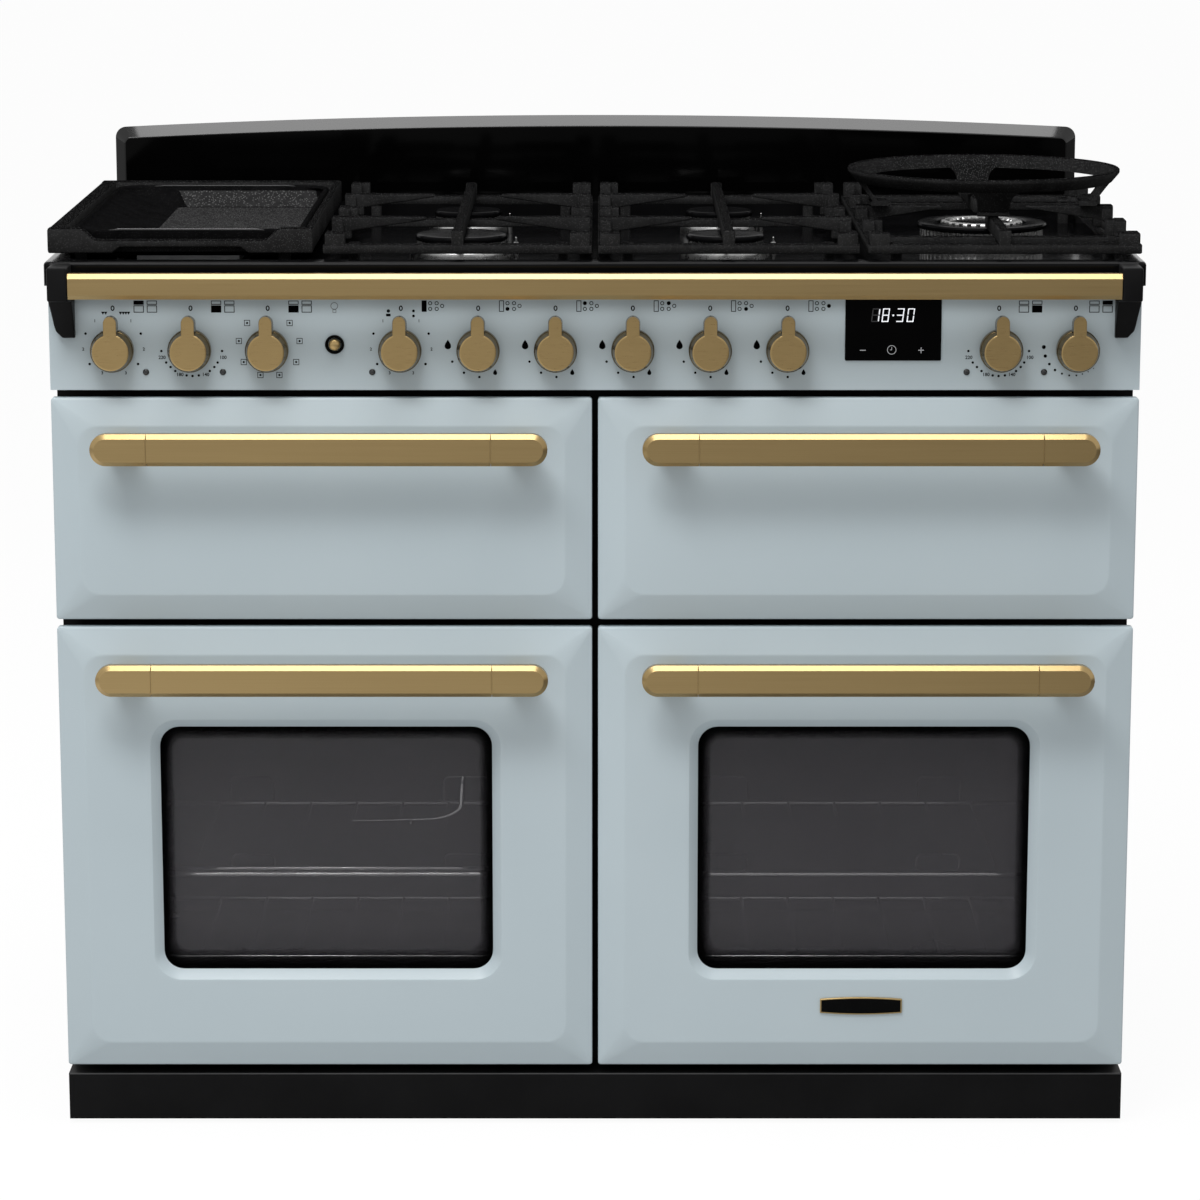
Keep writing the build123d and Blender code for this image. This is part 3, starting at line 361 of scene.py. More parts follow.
griddleTop = makeFinish("griddleTop", {
    "colour": (0.014, 0.014, 0.0142), "colour2": (0.022, 0.022, 0.0223), "tintScale": 90.0, "rough": (0.4, 0.55),
    "roughScale": 50.0, "fleck": (0.075, 0.075, 0.075), "fleckScale": 420.0, "fleckSize": 0.3,
    "grain": (60, 1500, 60), "bump": 0.4, "bumpDepth": 0.0003, "shine": 0.0})
ovenEnamel = makeFinish("ovenEnamel", {
    "colour": (0.026, 0.026, 0.029), "colour2": (0.036, 0.036, 0.040), "tintScale": 30.0, "rough": (0.16, 0.28),
    "fleck": (0.16, 0.16, 0.17), "fleckScale": 240.0, "fleckSize": 0.13, "grain": 300, "bump": 0.08, "shine": 0.3})
chromeWire = makeFinish("chromeWire", {
    "colour": (0.72, 0.72, 0.73), "colour2": (0.62, 0.62, 0.63), "rough": (0.08, 0.18), "roughScale": 30.0,
    "grain": 500, "bump": 0.05, "metal": 1.0})
zincSteel = makeFinish("zincSteel", {
    "colour": (0.42, 0.43, 0.44), "colour2": (0.56, 0.57, 0.58), "tintScale": 55.0, "rough": (0.3, 0.48),
    "roughScale": 45.0, "grain": 160, "bump": 0.08, "metal": 1.0})
# dark plastic for the rear rollers; the same lighter black also paints the highlight along the plinth's top edge
wheelPlasticAndPlinthHighlight = makeFinish("wheelPlasticAndPlinthHighlight", {
    "colour": (0.020, 0.020, 0.021), "colour2": (0.030, 0.030, 0.031), "rough": (0.42, 0.55), "grain": 700,
    "bump": 0.15})
pipeAlloy = makeFinish("pipeAlloy", {
    "colour": (0.60, 0.60, 0.59), "colour2": (0.50, 0.50, 0.49), "tintScale": 40.0, "rough": (0.25, 0.4),
    "grain": 400, "bump": 0.1, "metal": 1.0})
sealRubber = makeFinish("sealRubber", {
    "colour": (0.016, 0.016, 0.016), "colour2": (0.026, 0.026, 0.026), "rough": (0.6, 0.75), "grain": 1500,
    "bump": 0.4})
timerGlass = makeFinish("timerGlass", {
    "colour": (0.0008, 0.0008, 0.0009), "colour2": (0.0015, 0.0015, 0.0016), "rough": (0.06, 0.1), "grain": 300,
    "bump": 0.01, "shine": 0.05})
smokedGlass = makeFinish("smokedGlass", {
    "colour": (0.082, 0.078, 0.088), "colour2": (0.094, 0.090, 0.100), "tintScale": 4.0, "rough": (0.05, 0.09),
    "grain": 200, "bump": 0.01, "alpha": 0.2})
glassBorder = makeFinish("glassBorder", {
    "colour": (0.0008, 0.0008, 0.0008), "colour2": (0.0015, 0.0015, 0.0015), "rough": (0.5, 0.6), "fade": 0.8,
    "grain": 900, "bump": 0.02, "shine": 0.0})
panelInk = makeFinish("panelInk", {
    "colour": (0.0012, 0.0012, 0.0013), "colour2": (0.0024, 0.0024, 0.0026), "tintScale": 200.0, "rough": (0.5, 0.62),
    "grain": 900, "bump": 0.05, "shine": 0.0})
paleInk = makeFinish("paleInk", {
    "colour": (0.20, 0.225, 0.24), "colour2": (0.24, 0.265, 0.28), "tintScale": 200.0, "rough": (0.5, 0.62),
    "grain": 900, "bump": 0.05, "shine": 0.0})
litDigit = makeFinish("litDigit", {
    "colour": (0.85, 0.87, 0.9), "colour2": (0.95, 0.96, 0.98), "tintScale": 400.0, "rough": (0.3, 0.4), "grain": 300,
    "bump": 0.01, "glow": (0.9, 0.93, 1.0, 1), "glowLevel": 0.45})
keyDigit = makeFinish("keyDigit", {
    "colour": (0.42, 0.43, 0.44), "colour2": (0.48, 0.49, 0.50), "tintScale": 400.0, "rough": (0.3, 0.4),
    "grain": 300, "bump": 0.01, "glow": (0.9, 0.93, 1.0, 1), "glowLevel": 0.1})
faintDigit = makeFinish("faintDigit", {
    "colour": (0.020, 0.020, 0.022), "colour2": (0.026, 0.026, 0.028), "tintScale": 400.0, "rough": (0.3, 0.4),
    "grain": 300, "bump": 0.01})
lampLens = makeFinish("lampLens", {
    "colour": (0.012, 0.014, 0.016), "colour2": (0.022, 0.024, 0.026), "tintScale": 300.0, "rough": (0.12, 0.2),
    "grain": 300, "bump": 0.02})
print("finishes made")

keptFinishes = {
    "chassis_frame": blackCoat, "cabinet_panels": blackCoat, "floor_supports": zincSteel,
    "rear_rollers": wheelPlasticAndPlinthHighlight, "oven_liners": ovenEnamel, "upper_liners": ovenEnamel, "oven_racks": chromeWire,
    "fan_housings": ovenEnamel, "left_fan": ovenEnamel, "right_fan": ovenEnamel, "heating_elements": zincSteel,
    "door_seals": sealRubber, "grill_pan": ovenEnamel, "grill_door_liner": ovenEnamel,
    "slow_door_liner": ovenEnamel, "left_oven_door_liner": ovenEnamel, "right_oven_door_liner": ovenEnamel,
    "left_oven_door_glass": smokedGlass, "right_oven_door_glass": smokedGlass, "control_panel": doorPaint,
    "gas_manifold": pipeAlloy, "hob_tray": hobEnamel, "plinth": blackCoat,
    **{"tap_spindle_" + tap: zincSteel for tap in ("front_left", "rear_left", "rear_centre", "front_centre", "wok")}}
for node, finish in keptFinishes.items():
    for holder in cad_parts[node].material_slots:
        holder.material = finish


# doors: a rounded rim, a flat bevel up to the crowned face, and for the ovens a bevelled window
doorShape = {"edgeY": -265.0, "faceY": -275.0, "backY": -255.0, "bevel": 27.0, "corner": 3.0, "inner": 20.0,
             "sheet": 1.6, "windowBevel": 9.0, "windowCorner": 27.0, "windowWidth": 337.0, "windowHeight": 255.0}
doorSpans = {"grill_door": ((-544, -3), (533.5, 759.5)), "slow_door": ((3, 544), (533.5, 759.5)),
             "left_oven_door": ((-544, -3), (63.5, 525.5)), "right_oven_door": ((3, 544), (63.5, 525.5))}


def doorRing(x, z, inset, y):
    # the door's outline drawn in by inset, its corner radius growing with the inset up to the bevel's top
    d = doorShape
    share = min(inset / d["bevel"], 1.0)
    radius = d["corner"] + (d["inner"] - d["corner"]) * share
    return onFront(roundedOutline(grown(x, -inset), grown(z, -inset), radius), y)


def doorSkin(x, z, window=None):
    # rings go over the rim, up the bevel and onto the face, then back along the inside of the sheet
    d = doorShape
    edge, face, t, b = d["edgeY"], d["faceY"], d["sheet"], d["windowBevel"]
    rise = (face - edge) / d["bevel"]
    front = [(0.0, d["backY"]), (0.0, edge + 1.0), (0.3, edge + 0.3)]
    front += [(inset, edge + rise * inset) for inset in (1.0, 2.0, 25.4, 26.3)]
    front += [(27.0, face + 0.1), (27.7, face), (28.6, face), (33.0, face)]
    rings = [doorRing(x, z, inset, y) for inset, y in front]
    inside = [(33.0, face + t), (27.0, face + t), (t + 0.4, edge + t), (t, edge + 2 * t), (t, d["backY"])]
    inner = [doorRing(x, z, inset, y) for inset, y in inside]
    if window is None:
        return skin(inner + rings)
    wx, wz = window
    steps = [(3.5, face), (1.4, face), (0.4, face + 0.15), (-0.5, face + 0.8), (0.7 - b, edge - 0.9),
             (0.1 - b, edge - 0.1), (-b, edge + 0.8), (-b, edge + t), (2.0, face + t + 1.0), (4.5, face + t)]
    rings += [onFront(roundedOutline(grown(wx, g), grown(wz, g), d["windowCorner"] + 0.78 * g), y) for g, y in steps]
    return skin(rings + inner, around=True)


for door, (x, z) in doorSpans.items():
    window = None
    if "oven" in door:
        reach = doorShape["windowBevel"]
        window = (span((x[0] + x[1]) / 2, doorShape["windowWidth"] / 2 + reach),
                  span((z[0] + z[1]) / 2, doorShape["windowHeight"] / 2 + reach))
    addPiece(door + "Skin", doorSkin(x, z, window), doorPaint, door, (door + "_panel",), smooth=25)
print("door skins made")


# handles: a flat bar with rounded end blocks, chamfered all round, on two short posts
handleShape = {"length": 453.0, "height": 32.0, "backY": -310.0, "block": 56.0, "joint": 0.35, "postWidth": 30.0,
               "postHeight": 14.0, "postDrop": 3.0, "postRound": 4, "postY": (-310.5, -274.6), "coreHalf": (12, 9),
               "coreRound": 3, "coreY": (-318.0, -308.0), "fillerHalf": 2, "fillerInset": 3, "fillerRound": 1,
               "fillerY": (-322.6, -311.0), "upperZ": 715.5, "lowerZ": 481.5, "flat": 0.5,
               "steps": [(1.2, 0.0), (0.0, 1.2), (0.0, 9.5), (4.5, 14.0)]}


def barRings(outlineAt):
    # the outline drawn in step by step from the bar's back to its chamfered front
    h = handleShape
    return skin([onFront(outlineAt(inset), h["backY"] - forward) for inset, forward in h["steps"]])


def halfRound(x, z, side, inset):
    # a straight end at the joint and a half circle at the outer end, drawn in by the inset
    whole = (z[1] - z[0]) / 2
    r, v = whole - inset, (z[0] + z[1]) / 2
    flat = min(inset, handleShape["flat"])
    if side > 0:
        arc = arcPoints(x[1] - whole, v, r, -90, 90, 25)
        ends = np.array([[x[0] + flat, v + r], [x[0] + flat, v - r]])
    else:
        arc = arcPoints(x[0] + whole, v, r, 90, 270, 25)
        ends = np.array([[x[1] - flat, v - r], [x[1] - flat, v + r]])
    return np.concatenate([arc, ends])


def straightEnds(x, z, inset):
    # a rectangle drawn in by the inset, and at its ends by no more than the flat
    u, v = grown(x, -min(inset, handleShape["flat"])), grown(z, -inset)
    return np.array([[u[1], v[0]], [u[1], v[1]], [u[0], v[1]], [u[0], v[0]]])


def handleShell(centreX, centreZ):
    # a middle bar and two end blocks with a filled hairline between them, a post and a core behind each block
    h = handleShape
    z = span(centreZ, h["height"] / 2)
    left, right = span(centreX, h["length"] / 2)
    joints = (left + h["block"], right - h["block"])
    shells = [barRings(lambda inset: straightEnds(grown(joints, -h["joint"]), z, inset)),
              barRings(lambda inset: halfRound((left, joints[0]), z, -1, inset)),
              barRings(lambda inset: halfRound((joints[1], right), z, 1, inset))]
    for place in ((left + joints[0]) / 2, (right + joints[1]) / 2):
        post = roundedOutline(span(place, h["postWidth"] / 2), span(centreZ - h["postDrop"], h["postHeight"] / 2),
                              h["postRound"], 5)
        core = roundedOutline(span(place, h["coreHalf"][0]), span(centreZ, h["coreHalf"][1]), h["coreRound"], 4)
        shells += [slab(post, h["postY"]), slab(core, h["coreY"])]
    for joint in joints:
        filler = roundedOutline(span(joint, h["fillerHalf"]), grown(z, -h["fillerInset"]), h["fillerRound"], 3)
        shells.append(slab(filler, h["fillerY"]))
    return merged(shells)


for door, (x, z) in doorSpans.items():
    centreZ = handleShape["lowerZ" if "oven" in door else "upperZ"]
    addPiece(door + "Handle", handleShell((x[0] + x[1]) / 2, centreZ), brushedBrass, door, (door + "_handle",))
print("handles made")


# towel rail: a long chamfered bar held between two black brackets
railShape = {"x": (-517.5, 517.5), "z": (865.4, 890.7)}
bracketShape = {"inner": 517.5, "middle": 527.5, "half": 10.0, "frontY": -324.0, "panelY": -265.0,
                "headZ": (863.4, 897.0), "headBackY": -285.0, "round": 2.0, "legRound": 1.6,
                "arm": [(-316.0, 863.4, 873.0), (-265.0, 855.0, 872.0)],
                "leg": [(866.0, 23.5, 30.0), (858.0, 23.0, 26.0), (843.0, 21.2, 16.0), (834.0, 20.0, 12.0),
                        (828.0, 18.6, 10.0), (821.6, 13.0, 8.6), (821.0, 12.2, 7.6)]}


def bracketShell(side):
    # a rounded head over the rail's end and a leg whose outer side slants in as it goes down the panel
    b = bracketShape
    middle, wall = side * b["middle"], b["panelY"]
    head = evenBar("y", (b["frontY"], b["headBackY"]), middle, b["half"], b["headZ"], b["round"])
    leg = [onTop(roundedOutline((b["inner"], b["inner"] + width), (wall - depth, wall), b["legRound"], 4)
                 * np.array([side, 1.0]), z) for z, width, depth in b["leg"]]
    arm = castBar("y", [(y, middle, b["half"], low, high) for y, low, high in b["arm"]], b["legRound"])
    return merged([head, skin(leg), arm])


addPiece("towelRail", barRings(lambda inset: straightEnds(railShape["x"], railShape["z"], inset)),
         brushedBrass, "cooker", ("handrail_bar",))
addPiece("railBrackets", merged([bracketShell(-1), bracketShell(1)]), blackCoat, "cooker",
         ("handrail_brackets",))
print("towel rail made")


# knobs: a flange, a tapered drum and a lever whose face is flush with the drum's
# a ring is its radius, the lever's half width, its depth, and whether the lever is there; the face starts at a ring
knobShape = {"z": 808.5, "leverLength": 36.0, "collar": [(4.0, -262.0), (4.0, -269.0)], "faceRing": 7,
             "rings": [(20.2, 7.2, -269.5, 0), (21.5, 7.2, -270.5, 0), (21.5, 7.2, -279.2, 0), (21.2, 7.2, -280.0, 0),
                       (20.7, 7.2, -280.5, 0), (20.7, 7.0, -280.5, 1), (20.4, 7.3, -281.2, 1), (18.3, 6.5, -290.9, 1),
                       (18.0, 6.3, -291.3, 1), (17.5, 6.0, -291.5, 1), (16.5, 5.4, -291.5, 1)]}
knobPlaces = {"grill": -480.5, "left_oven": -403.5, "left_function": -326.5, "griddle": -194.05,
              "front_left": -116.3, "rear_left": -39.3, "rear_centre": 37.7, "front_centre": 114.7, "wok": 191.7,
              "right_oven": 404.3, "slow_oven": 480.5}


def keyhole(radius, half, lever):
    # a circle that opens at the top into a lever; with lever 0 the same points all lie on the circle
    meet = np.degrees(np.arccos(half / radius))
    body = arcPoints(0, 0, radius, 180 - meet, 360 + meet, 57)
    tip = arcPoints(0, knobShape["leverLength"] - half, half, 0, 180, 15)
    flat = arcPoints(0, 0, radius, meet, 180 - meet, 17)[1:-1]
    return np.concatenate([body, tip if lever else flat])


def knobShell(place):
    # keyhole rings from the flange to the face, split into the sides and the face, with a collar behind
    k = knobShape
    outlines = [onFront(keyhole(r, half, lever) + np.array([place, k["z"]]), y) for r, half, y, lever in k["rings"]]
    collar = lathe(k["collar"], (place, 0, k["z"]), "y", 24)
    return merged([skin(outlines[:k["faceRing"] + 1]), collar]), skin(outlines[k["faceRing"]:])


for name, place in knobPlaces.items():
    sides, face = knobShell(place)
    label, body = name.title().replace("_", ""), "knob_" + name
    # the sides take the darker copy of the brass: painted shade
    addPiece("knobSides" + label, sides, knobShadedBrass, body, (body,), smooth=30)
    addPiece("knobFace" + label, face, turnedBrass, body, smooth=30)
print("knobs made")


# splashback: a bowed top edge and a bevel round the face; a step is an inset and its depth
splashShape = {"half": 538.5, "baseZ": 898.0, "endZ": 980.6, "bow": 13.0, "corner": 12.0, "faceInset": 12.2,
               "faceY": (285.0, 285.6),
               "steps": [(8.6, 324.0), (6.8, 322.6), (0.4, 297.2), (0.0, 296.6), (0.1, 296.2), (0.4, 295.9),
                         (1.0, 295.3), (10.4, 285.9), (11.0, 285.35), (11.5, 285.1), (12.6, 285.1)]}


def splashOutline(inset):
    # straight foot and sides, a quarter circle at each top corner, and between them a shallow parabola
    s = splashShape
    half, end = s["half"] - inset, s["endZ"] - inset
    r = s["corner"] - inset * 0.5
    right = arcPoints(half - r, end - r, r, 0, 87, 9)
    left = arcPoints(-half + r, end - r, r, 93, 180, 9)
    u = np.linspace(half - r, -half + r, 81)[1:-1]
    top = np.stack([u, end + s["bow"] * (1 - (u / (half - r)) ** 2)], 1)
    foot = np.array([[-half, s["baseZ"]], [half, s["baseZ"]]])
    return np.concatenate([right, top, left, foot])


addPiece("splashPanel", skin([onFront(splashOutline(inset), y) for inset, y in splashShape["steps"]]), splashEnamel,
         "cooker", ("splashback",), smooth=28)
addPiece("splashFace", slab(splashOutline(splashShape["faceInset"]), splashShape["faceY"]), splashDark, "cooker")
print("splashback made")


# cast pan supports: low frame bars, raised blocks on the rails, wedge fingers and a spine
supportShape = {"y": (-253.0, 222.0), "lowZ": 902.4, "barZ": 912.0, "topZ": 926.4, "rail": 14.0, "round": 1.6,
                "frameCorners": (3.0, 15.0), "blockEnds": [(11, 5.9, 0.6), (9.6, 5.6, 0.0)], "blockInset": 11.9,
                "blockDrops": (3.0, 2.6, 2.0, 1.0, 0.0), "blockRound": 1.3, "arm": (2.8, 22.0), "armHalf": 6.6,
                "armShift": 4.8, "rows": (-127.5, 96.5), "middleY": -15.5, "fingerZ": 910.0, "nose": 4.0,
                "fingerRun": (1.6, 16, 6), "fingerHalf": (7.0, 4.0, 3.4), "floorZ": 884.0, "leg": 30.0,
                "legRun": (5, 36), "legRound": 1.6, "columnRun": (24, 35.6), "columnHalf": 5.6, "post": (6.4, 6.0),
                "postRound": 1.4, "cross": 163.0, "crossHalf": 6.4, "opening": 66.0, "spineHalf": 5.0}
supportSpans = {"left": (-271.0, -3.0, 36.0), "centre": (3.0, 264.0, 36.0), "right": (272.0, 545.0, 44.0)}


def lowFrame(x, y, wall, low, high):
    # a rectangular ring of bar with rounded inner corners and softened top edges
    edge, bend = supportShape["frameCorners"]
    outer = lambda inset: roundedOutline(grown(x, -inset), grown(y, -inset), edge, 6)
    inner = lambda inset: roundedOutline(grown(x, -wall - inset), grown(y, -wall - inset), bend, 6)
    steps = [(outer(0.8), low), (outer(0), low + 1), (outer(0), high - 1.4), (outer(0.5), high - 0.4),
             (outer(1.6), high), (inner(-1.6), high), (inner(-0.5), high - 0.4), (inner(0), high - 1.4),
             (inner(0), low + 1), (inner(-0.8), low)]
    return skin([onTop(outline, z) for outline, z in steps], around=True)


def footBars(shape, edge, side, z, columnTop):
    # at both ends of a side rail a short bar that runs inwards, and under it a column down to the hob
    leg, parts = edge + side * shape["leg"], []
    for near, step in zip(shape["y"], (1, -1)):
        run, ends = ([near + step * way for way in shape[key]] for key in ("legRun", "columnRun"))
        column = roundedOutline(span(leg, shape["columnHalf"]), sorted(ends), 2.5, 4)
        parts += [evenBar("y", run, leg, 6, z, shape["legRound"]),
                  skin([onTop(column, shape["floorZ"]), onTop(column, columnTop)])]
    return parts


def supportShell(x0, x1, gap, split):
    # blocks and wedge fingers rise from the low frame to the cooking level; ends are staggered, so none is flush
    s = supportShape
    half, middle, centreY, soft = s["rail"] / 2, (x0 + x1) / 2, s["middleY"], s["round"]
    low, bar, top, under = s["lowZ"], s["barZ"], s["topZ"], s["fingerZ"]
    (y0, y1), (front, rear) = s["y"], s["rows"]
    places = (y0 + s["blockInset"], front, centreY, rear, y1 - s["blockInset"])
    root, shoulder, neck = s["fingerRun"]
    wide, slim, point = s["fingerHalf"]
    parts = [lowFrame((x0, x1), s["y"], s["rail"], low, bar)]
    for side, edge in ((1, x0), (-1, x1)):
        rail = edge + side * half + side
        for place, drop in zip(places, s["blockDrops"]):
            block = top - drop
            ends = [(place - d, rail, thick, low + 1, block - fall) for d, thick, fall in s["blockEnds"]]
            ends += [(place + d, rail, thick, low + 1, block - fall) for d, thick, fall in s["blockEnds"][::-1]]
            atEnd = abs(place - centreY) > 150
            across = place - np.sign(centreY - place) * s["armShift"] if atEnd else place
            parts += [castBar("y", ends, s["blockRound"]),
                      evenBar("x", [edge + side * way for way in s["arm"]], across, s["armHalf"],
                              (low + 1.4, block - 0.3), s["blockRound"])]
        tip = middle - side * gap
        for row in (centreY,) if split else s["rows"]:
            parts.append(castBar("x", [(edge + side * root, row, wide, under, top + 0.1),
                                       (edge + side * shoulder, row, wide, under + 1, top + 0.1),
                                       (tip - side * neck, row, slim, top - s["nose"] - 0.6, top - 0.1),
                                       (tip, row, point, top - s["nose"], top - 0.4)], soft))
        parts += footBars(s, edge, side, (low + 0.6, bar - 1), bar - 2)
    for place in (y0 + half, y1 - half):
        parts.append(evenBar("y", span(place, s["post"][0]), middle, s["post"][1], (low + 1.2, top - 0.8),
                             s["postRound"]))
    for place in span(centreY, s["cross"]) if split else (centreY,):
        parts.append(evenBar("x", (x0 + 5, x1 - 5), place, s["crossHalf"], (low + 0.7, bar - 0.2), soft))
    near, far = span(centreY, s["opening"])
    for run in ((y0 + 2, near), (far, y1 - 2)) if split else ((y0 + 2, y1 - 2),):
        parts.append(evenBar("y", run, middle, s["spineHalf"], (under, top - 0.4), soft))
    return merged(parts)


for name, (x0, x1, gap) in supportSpans.items():
    body = "pan_support_" + name
    addPiece("panSupport" + name.title(), supportShell(x0, x1, gap, name == "right"), castIron, body,
             (body,), smooth=40, facing=True)
print("pan supports made")


# wok cradle: a flared band on four legs with flat feet
cradleShape = {"centre": (407.0, -15.5, 0.0), "legs": (0, 90, 180, 270), "legZ": 928.5, "legRise": 27.0,
               "legSpread": 7.8, "legFlare": 5.5, "legRadius": 118.5, "radiusZ": 933.0, "legOut": 20.0, "thick": 5,
               "footSpread": 7.9,
               "band": [(129.4, 952.6), (131.8, 952.0), (134.4, 953.0), (141.4, 961.4), (142, 962.6), (142, 965.0),
                        (141.0, 966), (137.8, 966), (136.6, 965.2)],
               "foot": [(101, 926.6), (118.5, 926.6), (119.5, 927.6), (119.5, 930.6), (118.4, 931.6), (102, 931.6),
                        (100.6, 930.4), (100.6, 927.6)]}


def cradleLeg(angle):
    # a curved patch that leans out as it rises and widens into the band, so the windows have rounded ends
    c = cradleShape
    u = np.linspace(0, 1, 17)[:, None]
    spread = np.radians(c["legSpread"] + c["legFlare"] * u ** 5)
    z = c["legZ"] + c["legRise"] * u
    outer = c["legRadius"] + (z - c["radiusZ"]) * c["legOut"] / c["legRise"]
    a = np.radians(angle) + spread * np.linspace(-1, 1, 13)[None]
    face, rear = (np.stack([r * np.cos(a), r * np.sin(a), z + 0 * a], -1) for r in (outer, outer - c["thick"]))
    return skin(np.concatenate([face, rear[:, ::-1]], 1) + np.array(c["centre"]))


def cradleFoot(angle):
    # a short flat arc under each leg: a rounded box section carried round the ring
    half = cradleShape["footSpread"]
    a = np.radians(angle + np.linspace(-half, half, 9))[:, None]
    profile = np.array(cradleShape["foot"])
    rings = np.stack([profile[:, 0] * np.cos(a), profile[:, 0] * np.sin(a), profile[:, 1] + 0 * a], -1)
    return skin(rings + np.array(cradleShape["centre"]))


cradleParts = [hoop(cradleShape["band"], cradleShape["centre"], 128)]
cradleParts += [shell(a) for a in cradleShape["legs"] for shell in (cradleLeg, cradleFoot)]
addPiece("wokCradle", merged(cradleParts), castIron, "wok_cradle", ("wok_cradle",), smooth=40, facing=True)
print("wok cradle made")


# griddle: a cast surround with a dipped front bar, and a lipped pan in it
griddleShape = {"x": (-545.0, -281.0), "y": (-253.0, 222.0), "z": (903.0, 928.0), "rail": 16.0, "thinRail": 8.0,
                "corner": 31.5, "slope": 14.0, "dipZ": 916.0, "slot": 60.0, "slotZ": 909.0, "round": 2.0,
                "ledge": 6.0, "ledges": ((18.0, 6.0), (11.0, 3.0)), "leg": 30.0, "legRun": (4, 33), "legRound": 1.5,
                "columnRun": (21, 31), "columnHalf": 6, "floorZ": 884.0}
panShape = {"x": (-525.0, -291.6), "y": (-233.0, 202.0), "floorX": (-462.0, -299.4), "floorY": (-206.0, 176.0),
            "corner": 30.0, "crest": 6.4, "rightInset": 4.0, "cookX": (-457.0, -301.4), "cookY": (-199.0, 170.0),
            "outside": [(14, 897.0), (14, 908.6), (1, 909.0), (0, 910.0), (0, 921.6), (0.5, 923.2), (1.5, 924.4),
                        (3.0, 925.0), (4.6, 924.6), (5.8, 923.5), (6.4, 922.2)],
            "inside": [(0.1, 919.4), (0.5, 911.6), (0.86, 905.2), (0.96, 903.7), (1.02, 903.1), (1.06, 903.0),
                       (1.1, 903.0)],
            "floorCorner": (13.0, 7.0), "cookCorner": 6, "cookZ": (902.6, 903.3, 903.5),
            "rampX": (-459.0, -448.0, -300.4), "rampShare": (0.12, 1.0), "lipY": (-229.9, 198.9), "lipLowZ": 922.4,
            "lip": [(-486.0, 2.6, 924.4), (-474.0, 2.8, 925.3), (-340.0, 2.8, 925.3), (-330.0, 2.6, 924.4)]}


def griddleSurround():
    # four bars whose section follows the bar's own height along its length, ledges for the pan, and feet
    g = griddleShape
    (x0, x1), (y0, y1), (low, top) = g["x"], g["y"], g["z"]
    half, thin, dip, r = g["rail"] / 2, g["thinRail"] / 2, g["dipZ"], g["round"]
    middle, turn = (x0 + x1) / 2, x0 + g["corner"]
    shelf = (low, low + g["ledge"])
    parts = [evenBar("y", (y0 + 1.5, y1 - 1.5), rail, wide, (low + 0.4, top - 0.3), r)
             for rail, wide in ((x0 + half, half - 0.4), (x1 - thin, thin - 0.3))]
    heights = [(x0, top), (turn, top), (turn + 4, top - 2), (turn + g["slope"], dip + 1), (turn + g["slope"] + 5, dip),
               (middle - g["slot"] - 8, dip)]
    left = [(x, y0 + half, half, low, high) for x, high in heights]
    slot = [(x, y0 + half, half, g["slotZ"], dip) for x in span(middle, g["slot"])]
    right = [(x0 + x1 - x, *rest) for x, *rest in left[::-1]]
    parts += [castBar("x", left + slot + right, r), evenBar("x", (x0, x1), y1 - half, half, (low, top), r)]
    for edge, side, (inward, wide) in zip(g["x"], (1, -1), g["ledges"]):
        parts.append(evenBar("y", (y0 + 4, y1 - 4), edge + side * inward, wide, shelf, g["legRound"]))
        parts += footBars(g, edge, side, shelf, low + 5)
    inward, wide = g["ledges"][0]
    parts += [evenBar("x", (x0 + 6, x1 - 6), place, wide, shelf, g["legRound"]) for place in (y0 + inward, y1 - inward)]
    return merged(parts)


def griddlePan():
    # rings run up the outside, over the lip and down the sloping walls to the cooking floor
    p = panShape
    x, y, crest, (wide, drop) = p["x"], p["y"], p["crest"], p["floorCorner"]
    stack = [onTop(roundedOutline((x[0] + i, x[1] - (p["rightInset"] if i > crest else i)), grown(y, -i),
                                  p["corner"] - i, 9), z) for i, z in p["outside"]]
    for share, z in p["inside"]:
        u = [a + (b - a) * share for a, b in zip(grown(x, -crest), p["floorX"])]
        v = [a + (b - a) * share for a, b in zip(grown(y, -crest), p["floorY"])]
        stack.append(onTop(roundedOutline(u, v, wide - drop * share, 9), z))
    return skin(stack)


def rearRamp():
    # a thin lighter patch that follows the rear wall from the floor up to the lip: painted light on the wall
    p = panShape
    share = np.linspace(*p["rampShare"], 12)[:, None]
    right = np.array([0.0, 1.0, 1.0, 0.0])
    topX, footX, endX = p["rampX"]
    wall, foot = p["y"][1] - p["crest"], p["floorY"][1]
    x = (topX + (footX - topX) * share) * (1 - right) + endX * right
    y = wall + (foot - wall) * share + 0 * right
    z = np.interp(share, *zip(*p["inside"][:5]))
    return skin(np.stack([x, y, z + np.array([0.4, 0.4, -0.5, -0.5])], -1))


def lipCrest():
    # low rounded strips on the straight front and rear runs of the pan's rim
    p = panShape
    return merged([castBar("x", [(x, y, wide, p["lipLowZ"], high) for x, wide, high in p["lip"]], 1.2)
                   for y in p["lipY"]])


cookFloor = roundedOutline(panShape["cookX"], panShape["cookY"], panShape["cookCorner"], 7)
cookSteps = (cookFloor, cookFloor, cookFloor * 0.998 - 0.35)
cookRings = [onTop(outline, z) for outline, z in zip(cookSteps, panShape["cookZ"])]
# the rear wall's lighter patch: painted light
addPiece("griddleRamp", rearRamp(), griddleTop, "griddle_plate", smooth=50)
addPiece("griddleLip", lipCrest(), griddleShine, "griddle_plate", smooth=50)
addPiece("griddleSurround", griddleSurround(), castIron, "griddle_frame", ("griddle_frame",), smooth=40,
         facing=True)
addPiece("griddlePan", griddlePan(), griddleCoat, "griddle_plate", ("griddle_plate",))
addPiece("griddleFloor", skin(cookRings), griddleTop, "griddle_plate")
print("griddle made")


